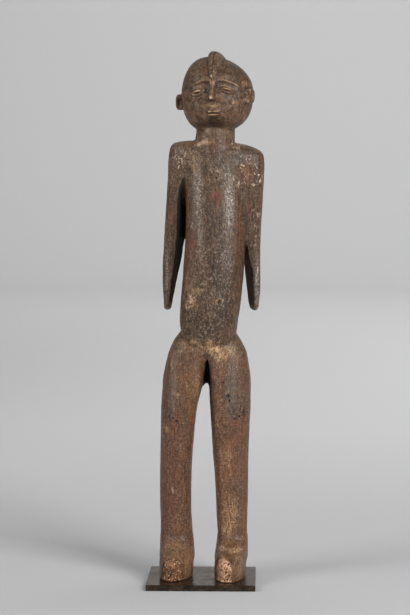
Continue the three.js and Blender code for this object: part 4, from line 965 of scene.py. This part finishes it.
# ------------------------------------------------------------------ materials
class Nodes:
    """Short names for building a material's nodes."""

    def __init__(self, name):
        self.material = bpy.data.materials.new(name)
        self.material.use_nodes = True
        self.tree = self.material.node_tree
        self.tree.nodes.clear()
        self.out = self.tree.nodes.new("ShaderNodeOutputMaterial")
        coords = self.tree.nodes.new("ShaderNodeTexCoord")
        self.where = coords.outputs["Object"]

    def node(self, kind, **values):
        n = self.tree.nodes.new(kind)
        for key, value in values.items():
            setattr(n, key, value)
        return n

    def link(self, a, b):
        self.tree.links.new(a, b)

    def put(self, socket, value):
        if isinstance(value, bpy.types.NodeSocket):
            self.link(value, socket)
        else:
            socket.default_value = value

    def scaled(self, sx, sy, sz):
        """Object coordinates in cells of sx, sy, sz millimetres."""
        m = self.node("ShaderNodeMapping")
        self.link(self.where, m.inputs["Vector"])
        m.inputs["Scale"].default_value = (1000 / sx, 1000 / sy, 1000 / sz)
        return m.outputs["Vector"]

    def noise(self, size, detail=3.0, rough=0.5, warp=0.0):
        t = self.node("ShaderNodeTexNoise")
        self.link(self.scaled(*size), t.inputs["Vector"])
        t.inputs["Scale"].default_value = 1.0
        t.inputs["Detail"].default_value = detail
        t.inputs["Roughness"].default_value = rough
        t.inputs["Distortion"].default_value = warp
        return t.outputs["Fac"]

    def cells(self, size, feature="F1", randomness=1.0):
        t = self.node("ShaderNodeTexVoronoi", feature=feature)
        self.link(self.scaled(*size), t.inputs["Vector"])
        t.inputs["Scale"].default_value = 1.0
        t.inputs["Randomness"].default_value = randomness
        return t.outputs["Distance"]

    def math(self, op, a, b=0.0, c=0.0, clamp=False):
        m = self.node("ShaderNodeMath", operation=op, use_clamp=clamp)
        for socket, value in zip(m.inputs, (a, b, c)):
            self.put(socket, value)
        return m.outputs[0]

    def ramp(self, value, low, high, a=0.0, b=1.0):
        m = self.node("ShaderNodeMapRange", interpolation_type="SMOOTHSTEP")
        self.put(m.inputs["Value"], value)
        for key, v in zip(("From Min", "From Max", "To Min", "To Max"), (low, high, a, b)):
            m.inputs[key].default_value = v
        return m.outputs["Result"]

    def mix(self, fac, a, b, blend="MIX"):
        m = self.node("ShaderNodeMix", data_type="RGBA", blend_type=blend, clamp_factor=True)
        self.put(m.inputs[0], fac)
        self.put(m.inputs[6], a)
        self.put(m.inputs[7], b)
        return m.outputs[2]

    def attribute(self, name):
        a = self.node("ShaderNodeAttribute", attribute_name=name)
        return a.outputs["Fac"]

    def bump(self, height, distance, strength=1.0, normal=None):
        b = self.node("ShaderNodeBump")
        self.put(b.inputs["Height"], height)
        b.inputs["Distance"].default_value = distance
        b.inputs["Strength"].default_value = strength
        if normal is not None:
            self.link(normal, b.inputs["Normal"])
        return b.outputs["Normal"]


def srgb(r, g, b):
    def one(v):
        v /= 255
        return v / 12.92 if v <= 0.04045 else ((v + 0.055) / 1.055) ** 2.4

    return (one(r), one(g), one(b), 1.0)


def wood_material():
    m = Nodes("old_patinated_wood")
    broad = m.noise((34, 34, 60), 2.0, 0.5)
    zones = m.noise((12, 12, 22), 3.0, 0.55, 0.6)
    mottle = m.noise((3.4, 3.4, 4.6), 4.0, 0.62, 0.3)
    grain = m.noise((1.3, 1.3, 12.0), 3.0, 0.55)
    fine = m.noise((1.6, 1.6, 1.9), 2.0, 0.6)
    streak = m.noise((1.5, 1.5, 26.0), 3.0, 0.55)
    calm = m.attribute("calm")
    skull = m.attribute("skull")
    busy = m.math("SUBTRACT", m.math("SUBTRACT", 1.0, m.math("MULTIPLY", calm, 0.45)), m.math("MULTIPLY", skull, 0.45))
    blotch = m.noise((5.5, 5.5, 5.5), 3.5, 0.66, 0.2)
    grit = m.noise((1.5, 1.5, 1.05), 1.5, 0.6)
    gritty = m.math("ADD", 0.12, m.math("ADD", m.math("MULTIPLY", calm, 0.6), m.math("MULTIPLY", skull, 0.4)))
    olive, brown, rust = srgb(84, 68, 50), srgb(96, 73, 54), srgb(112, 74, 48)
    colour = m.mix(m.ramp(zones, 0.38, 0.60), olive, brown)
    warm = m.math("ADD", m.attribute("warm"), m.ramp(broad, 0.45, 0.68, 0.0, 0.45), clamp=True)
    colour = m.mix(m.math("MULTIPLY", warm, m.ramp(zones, 0.36, 0.58, 0.45, 1.0)), colour, rust)
    # golden brown where the patina is thin, and painted light on the left foot's inner side
    colour = m.mix(m.math("MULTIPLY", m.attribute("gold_and_painted_light"), m.ramp(mottle, 0.36, 0.60, 0.3, 1.0)), colour, srgb(142, 102, 66))
    # grey film and painted sheen
    grey_film_and_sheen = m.math("MULTIPLY", m.attribute("grey_film_and_sheen"), m.ramp(zones, 0.30, 0.55, 0.4, 1.0))
    colour = m.mix(m.math("MULTIPLY", grey_film_and_sheen, 0.55), colour, srgb(104, 93, 84))
    # dark stains, and painted shade on the face
    colour = m.mix(m.math("MULTIPLY", m.attribute("stain_and_painted_shade"), m.ramp(mottle, 0.62, 0.36, 0.45, 0.9)), colour, srgb(52, 33, 20))
    colour = m.mix(m.math("MULTIPLY", m.math("MULTIPLY", m.ramp(mottle, 0.50, 0.34), 0.62), busy), colour, srgb(44, 31, 22))
    colour = m.mix(m.math("MULTIPLY", m.math("MULTIPLY", m.ramp(mottle, 0.50, 0.66), 0.50), busy), colour, srgb(130, 109, 92))
    colour = m.mix(m.math("MULTIPLY", m.ramp(streak, 0.50, 0.34), m.math("MULTIPLY", calm, 0.45)), colour, srgb(66, 44, 28))
    colour = m.mix(m.math("MULTIPLY", m.ramp(streak, 0.52, 0.68), m.math("MULTIPLY", calm, 0.35)), colour, srgb(150, 116, 84))
    colour = m.mix(m.math("MULTIPLY", m.math("MULTIPLY", m.ramp(grain, 0.49, 0.33), 0.45), busy), colour, srgb(38, 24, 14))
    colour = m.mix(m.math("MULTIPLY", m.math("MULTIPLY", m.ramp(grain, 0.52, 0.68), 0.32), busy), colour, srgb(134, 114, 96))
    colour = m.mix(m.math("MULTIPLY", m.ramp(fine, 0.55, 0.70), 0.58), colour, srgb(158, 136, 114))
    colour = m.mix(m.math("MULTIPLY", m.ramp(fine, 0.46, 0.31), 0.68), colour, srgb(34, 20, 10))
    colour = m.mix(m.math("MULTIPLY", m.ramp(grit, 0.54, 0.70), gritty), colour, (2.0, 1.9, 1.8, 1.0), "MULTIPLY")
    colour = m.mix(m.math("MULTIPLY", m.ramp(grit, 0.46, 0.30), gritty), colour, (0.34, 0.32, 0.30, 1.0), "MULTIPLY")
    # blotches on the head
    colour = m.mix(m.math("MULTIPLY", m.ramp(blotch, 0.50, 0.36), m.math("MULTIPLY", skull, 0.6)), colour, srgb(48, 30, 19))
    colour = m.mix(m.math("MULTIPLY", m.ramp(blotch, 0.50, 0.64), m.math("MULTIPLY", skull, 0.5)), colour, srgb(134, 110, 92))
    # rubbed edges, which also paint highlights on the ridges, and painted shade in the creases
    colour = m.mix(m.math("MULTIPLY", m.attribute("edge"), m.ramp(mottle, 0.34, 0.60, 0.1, 0.6)), colour, srgb(178, 144, 108))
    colour = m.mix(m.math("MULTIPLY", m.attribute("painted_crease_shade"), 0.7), colour, srgb(28, 17, 9))
    colour = m.mix(m.math("MULTIPLY", m.attribute("pit"), 0.85), colour, srgb(34, 23, 18))
    # reddish stain
    colour = m.mix(m.math("MULTIPLY", m.attribute("red"), m.ramp(mottle, 0.38, 0.58, 0.2, 0.8)), colour, srgb(120, 64, 50))
    # the whole patina is a little warmer than its parts
    colour = m.mix(1.0, colour, (0.97, 0.90, 0.82, 1.0), "MULTIPLY")
    # paler and darker areas of the patina, with painted light and painted shade among them
    colour = m.mix(1.0, colour, m.mix(m.attribute("tone_and_painted_light"), (0.56, 0.49, 0.42, 1.0), (1.44, 1.51, 1.58, 1.0)), "MULTIPLY")
    colour = m.mix(m.math("MULTIPLY", skull, 0.8), colour, (1.0, 0.94, 0.88, 1.0), "MULTIPLY")
    # dust and painted highlights, and pale specks
    dust_and_painted_sheen = m.math("MULTIPLY", m.attribute("dust_and_painted_sheen"), m.ramp(m.noise((1.6, 1.6, 5.0), 3.0, 0.62, 0.4), 0.44, 0.60))
    colour = m.mix(m.math("MULTIPLY", dust_and_painted_sheen, 0.8), colour, srgb(170, 152, 134))
    specks = m.math("MULTIPLY", m.ramp(m.noise((3.0, 3.0, 3.6), 2.5, 0.6, 0.9), 0.585, 0.63), m.attribute("speck"))
    sparse = m.ramp(m.noise((2.3, 2.3, 3.1), 2.0, 0.6), 0.69, 0.75)
    colour = m.mix(m.math("MULTIPLY", specks, 0.9), colour, m.mix(m.attribute("red"), srgb(214, 192, 166), srgb(222, 180, 162)))
    colour = m.mix(m.math("MULTIPLY", sparse, 0.4), colour, srgb(184, 156, 130))
    # glossy strips: painted sheen, a greyish film with pale flecks
    film_and_painted_sheen = m.attribute("film_and_painted_sheen")
    net = m.math("MAXIMUM", m.ramp(m.noise((2.8, 2.8, 1.3), 2.5, 0.6, 0.2), 0.54, 0.62), m.ramp(m.noise((1.5, 1.5, 6.0), 2.0, 0.6), 0.58, 0.68))
    net = m.math("MULTIPLY", net, m.math("SUBTRACT", 1.0, m.math("MULTIPLY", calm, 0.8)))
    colour = m.mix(m.math("MULTIPLY", film_and_painted_sheen, m.ramp(mottle, 0.42, 0.58, 0.15, 0.6)), colour, srgb(130, 118, 108))
    colour = m.mix(m.math("MULTIPLY", m.math("MULTIPLY", film_and_painted_sheen, net), m.ramp(zones, 0.40, 0.54, 0.35, 0.95)), colour, srgb(226, 219, 212))
    # worn, paler wood, with painted light on the left foot's inner side and painted highlights on the face
    fibres = m.math("ADD", m.math("MULTIPLY", m.ramp(m.noise((1.7, 1.7, 9.0), 3.0, 0.6, 0.3), 0.40, 0.58), calm),
                    m.math("MULTIPLY", m.ramp(m.noise((2.4, 2.4, 3.0), 3.0, 0.6, 0.5), 0.36, 0.56), m.math("SUBTRACT", 1.0, calm)))
    patch = m.math("MULTIPLY", m.attribute("worn_and_painted_light"), fibres)
    colour = m.mix(patch, colour, m.mix(m.ramp(fine, 0.36, 0.58), srgb(150, 106, 66), srgb(224, 188, 148)))
    # thin pale lines: rubbed wear, painted highlights along the eyelids and painted light on the neck's rim
    colour = m.mix(m.math("MULTIPLY", m.attribute("thin"), 0.8), colour, srgb(206, 170, 136))
    # broken toes
    crumbs = m.noise((2.2, 2.2, 2.8), 3.0, 0.65, 0.7)
    dots = m.noise((1.7, 1.7, 1.9), 2.0, 0.6)
    raw = m.mix(m.ramp(crumbs, 0.38, 0.56), srgb(128, 78, 48), srgb(222, 176, 142))
    raw = m.mix(m.math("MULTIPLY", m.ramp(mottle, 0.50, 0.40), 0.6), raw, srgb(134, 84, 54))
    raw = m.mix(m.math("MULTIPLY", m.ramp(dots, 0.56, 0.64), 0.7), raw, srgb(242, 208, 178))
    raw = m.mix(m.math("MULTIPLY", m.ramp(dots, 0.42, 0.34), 0.8), raw, srgb(70, 38, 22))
    colour = m.mix(m.attribute("fresh"), colour, raw)
    gnawed = m.mix(m.ramp(crumbs, 0.34, 0.58), srgb(70, 41, 23), srgb(148, 98, 62))
    gnawed = m.mix(m.ramp(dots, 0.60, 0.66), gnawed, srgb(236, 208, 176))
    gnawed = m.mix(m.math("MULTIPLY", m.ramp(dots, 0.42, 0.34), 0.9), gnawed, srgb(34, 18, 10))
    colour = m.mix(m.attribute("eaten"), colour, gnawed)
    # painted shade: darker in the hollows, in the gaps beside the trunk and between the legs, and under the chin
    painted_hollow_shade = m.attribute("painted_hollow_shade")
    colour = m.mix(m.math("MULTIPLY", m.ramp(painted_hollow_shade, 0.15, 0.8), 0.7), colour, srgb(26, 17, 11))
    colour = m.mix(m.math("MULTIPLY", m.attribute("shade"), 0.94), colour, srgb(12, 6, 3))

    gloss = m.attribute("gloss")
    rough = m.ramp(mottle, 0.35, 0.65, 0.54, 0.38)
    rough = m.math("SUBTRACT", rough, m.math("MULTIPLY", gloss, 0.15))
    rough = m.math("ADD", rough, m.math("MULTIPLY", m.attribute("fresh"), 0.4))
    rough = m.math("ADD", rough, m.math("MULTIPLY", m.attribute("eaten"), 0.3))
    rough = m.math("ADD", rough, m.math("MULTIPLY", m.attribute("shade"), 0.6))
    rough = m.math("ADD", rough, m.math("MULTIPLY", m.attribute("worn_and_painted_light"), 0.15), clamp=True)

    crackle = m.ramp(m.cells((2.4, 2.4, 3.4), "DISTANCE_TO_EDGE"), 0.0, 0.10)
    height = m.math("MULTIPLY", grain, 0.45)
    height = m.math("ADD", height, m.math("MULTIPLY", mottle, 0.8))
    height = m.math("ADD", height, m.math("MULTIPLY", fine, 0.35))
    height = m.math("ADD", height, m.math("MULTIPLY", m.math("MULTIPLY", crackle, gloss), 0.5))
    normal = m.bump(height, 0.0009, 0.8)

    s = m.node("ShaderNodeBsdfPrincipled")
    m.put(s.inputs["Base Color"], colour)
    m.put(s.inputs["Roughness"], rough)
    s.inputs["IOR"].default_value = 1.5
    s.inputs["Specular IOR Level"].default_value = 0.5
    m.link(normal, s.inputs["Normal"])
    m.link(s.outputs[0], m.out.inputs["Surface"])
    return m.material


def steel_material():
    m = Nodes("browned_steel")
    cloud = m.noise((22, 22, 22), 4.0, 0.6, 0.6)
    fine = m.noise((3.0, 5.0, 1.6), 3.0, 0.6)
    rub = m.noise((30, 1.2, 6), 3.0, 0.6)
    colour = m.mix(m.ramp(cloud, 0.36, 0.64), srgb(44, 36, 31), srgb(76, 62, 50))
    colour = m.mix(m.math("MULTIPLY", m.ramp(fine, 0.48, 0.66), 0.5), colour, srgb(102, 86, 71))
    colour = m.mix(m.math("MULTIPLY", m.ramp(fine, 0.46, 0.32), 0.5), colour, srgb(30, 24, 20))
    rough = m.ramp(cloud, 0.3, 0.7, 0.20, 0.34)
    rough = m.math("ADD", rough, m.ramp(rub, 0.3, 0.7, -0.05, 0.07))
    height = m.math("ADD", m.math("MULTIPLY", fine, 0.5), m.math("MULTIPLY", rub, 0.5))
    normal = m.bump(height, 0.00012, 0.5)
    s = m.node("ShaderNodeBsdfPrincipled")
    m.put(s.inputs["Base Color"], colour)
    s.inputs["Metallic"].default_value = 0.7
    s.inputs["Specular Tint"].default_value = (0.88, 0.82, 0.77, 1.0)
    m.put(s.inputs["Roughness"], rough)
    m.link(normal, s.inputs["Normal"])
    m.link(s.outputs[0], m.out.inputs["Surface"])
    return m.material


def paper_material():
    m = Nodes("studio_paper")
    s = m.node("ShaderNodeBsdfPrincipled")
    s.inputs["Base Color"].default_value = (0.62, 0.62, 0.625, 1)
    s.inputs["Roughness"].default_value = 0.9
    s.inputs["Specular IOR Level"].default_value = 0.1
    m.link(s.outputs[0], m.out.inputs["Surface"])
    return m.material


# ------------------------------------------------------------------ stage, light, camera
def make_studio():
    """A round floor that curves up into a wall, far outside the object."""
    floor_r, cove_r, wall = 5.2, 1.2, 4.6
    profile = [(0.001, 0.0)] + [(r, 0.0) for r in np.linspace(0.3, floor_r, 8)]
    profile += [(floor_r + cove_r * math.sin(t), cove_r * (1 - math.cos(t))) for t in np.linspace(0.12, math.pi / 2, 14)]
    profile += [(floor_r + cove_r, wall)]
    segments = 96
    verts, faces = [], []
    for r, z in profile:
        for k in range(segments):
            t = 2 * math.pi * k / segments
            verts.append((r * math.cos(t), r * math.sin(t), z))
    for i in range(len(profile) - 1):
        for k in range(segments):
            j = (k + 1) % segments
            faces.append((i * segments + k, i * segments + j, (i + 1) * segments + j, (i + 1) * segments + k))
    faces.append(tuple(reversed(range(segments))))
    mesh = bpy.data.meshes.new("studio")
    mesh.from_pydata(verts, [], faces)
    mesh.polygons.foreach_set("use_smooth", np.ones(len(mesh.polygons), dtype=bool))
    obj = bpy.data.objects.new("studio", mesh)
    bpy.context.scene.collection.objects.link(obj)
    mesh.materials.append(paper_material())
    return obj


def around(azimuth, elevation, distance, aim=(0.0, 0.0, 0.27)):
    """A place round the object; azimuth from the front (-Y), positive towards +X."""
    a, e = math.radians(azimuth), math.radians(elevation)
    return tuple(np.array(aim) + distance * np.array([math.sin(a) * math.cos(e), -math.cos(a) * math.cos(e), math.sin(e)]))


def softbox(name, place, size, power, aim=(0.0, 0.0, 0.27)):
    light = bpy.data.lights.new(name, "AREA")
    light.shape = "RECTANGLE"
    light.size, light.size_y = size
    light.energy = power
    obj = bpy.data.objects.new(name, light)
    obj.location = place
    obj.rotation_euler = (Vector(aim) - Vector(place)).to_track_quat("-Z", "Y").to_euler()
    obj.visible_camera = False
    bpy.context.scene.collection.objects.link(obj)
    return obj


def make_camera():
    data = bpy.data.cameras.new("camera")
    data.sensor_fit = "HORIZONTAL"
    data.sensor_width = 36.0
    data.lens = 2191.0 / 410.0 * 36.0
    data.clip_end = 50
    obj = bpy.data.objects.new("camera", data)
    obj.location = (0.065279, -2.224093, 0.429017)
    obj.rotation_euler = (math.radians(90 - 3.786), 0, math.radians(1.6))
    bpy.context.scene.collection.objects.link(obj)
    bpy.context.scene.camera = obj


make_camera()
make_studio()
softbox("key", around(38, 27, 1.7), (0.7, 1.1), 24)
softbox("fill", around(-57, 26, 1.8), (0.8, 1.2), 13)
# the wall and the floor behind the object
softbox("wall_high", (0.0, 4.6, 2.6), (3.4, 1.4), 13.9, aim=(0.0, 6.4, 1.0))
softbox("wall_right", (1.4, 4.6, 2.6), (2.2, 1.4), 5.3, aim=(0.9, 6.4, 1.0))
softbox("wall_low", (0.0, 3.6, 2.6), (3.4, 1.4), 26.8, aim=(0.0, 6.4, 0.4))
softbox("floor_far", (0.0, 2.2, 2.2), (2.6, 1.0), 4.9, aim=(0.0, 4.4, 0.0))
softbox("floor_far_right", (1.4, 2.2, 2.2), (1.8, 1.0), 34.5, aim=(1.2, 4.4, 0.0))
softbox("floor_middle", (0.0, 0.9, 1.6), (2.0, 0.8), 12.4, aim=(0.0, 2.4, 0.0))
softbox("floor_right", (1.0, 0.9, 1.6), (1.2, 0.8), 7.9, aim=(1.0, 2.4, 0.0))
world = bpy.data.worlds.new("studio_air")
bpy.context.scene.world = world
world.use_nodes = True
world.node_tree.nodes["Background"].inputs["Color"].default_value = (1, 1, 1, 1)
world.node_tree.nodes["Background"].inputs["Strength"].default_value = 0.13
bpy.context.scene.view_settings.view_transform = "Standard"

carving_object = make_carving()
carving_object.data.materials.clear()
carving_object.data.materials.append(wood_material())
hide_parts("figure")
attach(carving_object, "root")

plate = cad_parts["base_plate"]
plate.data.materials.clear()
plate.data.materials.append(steel_material())
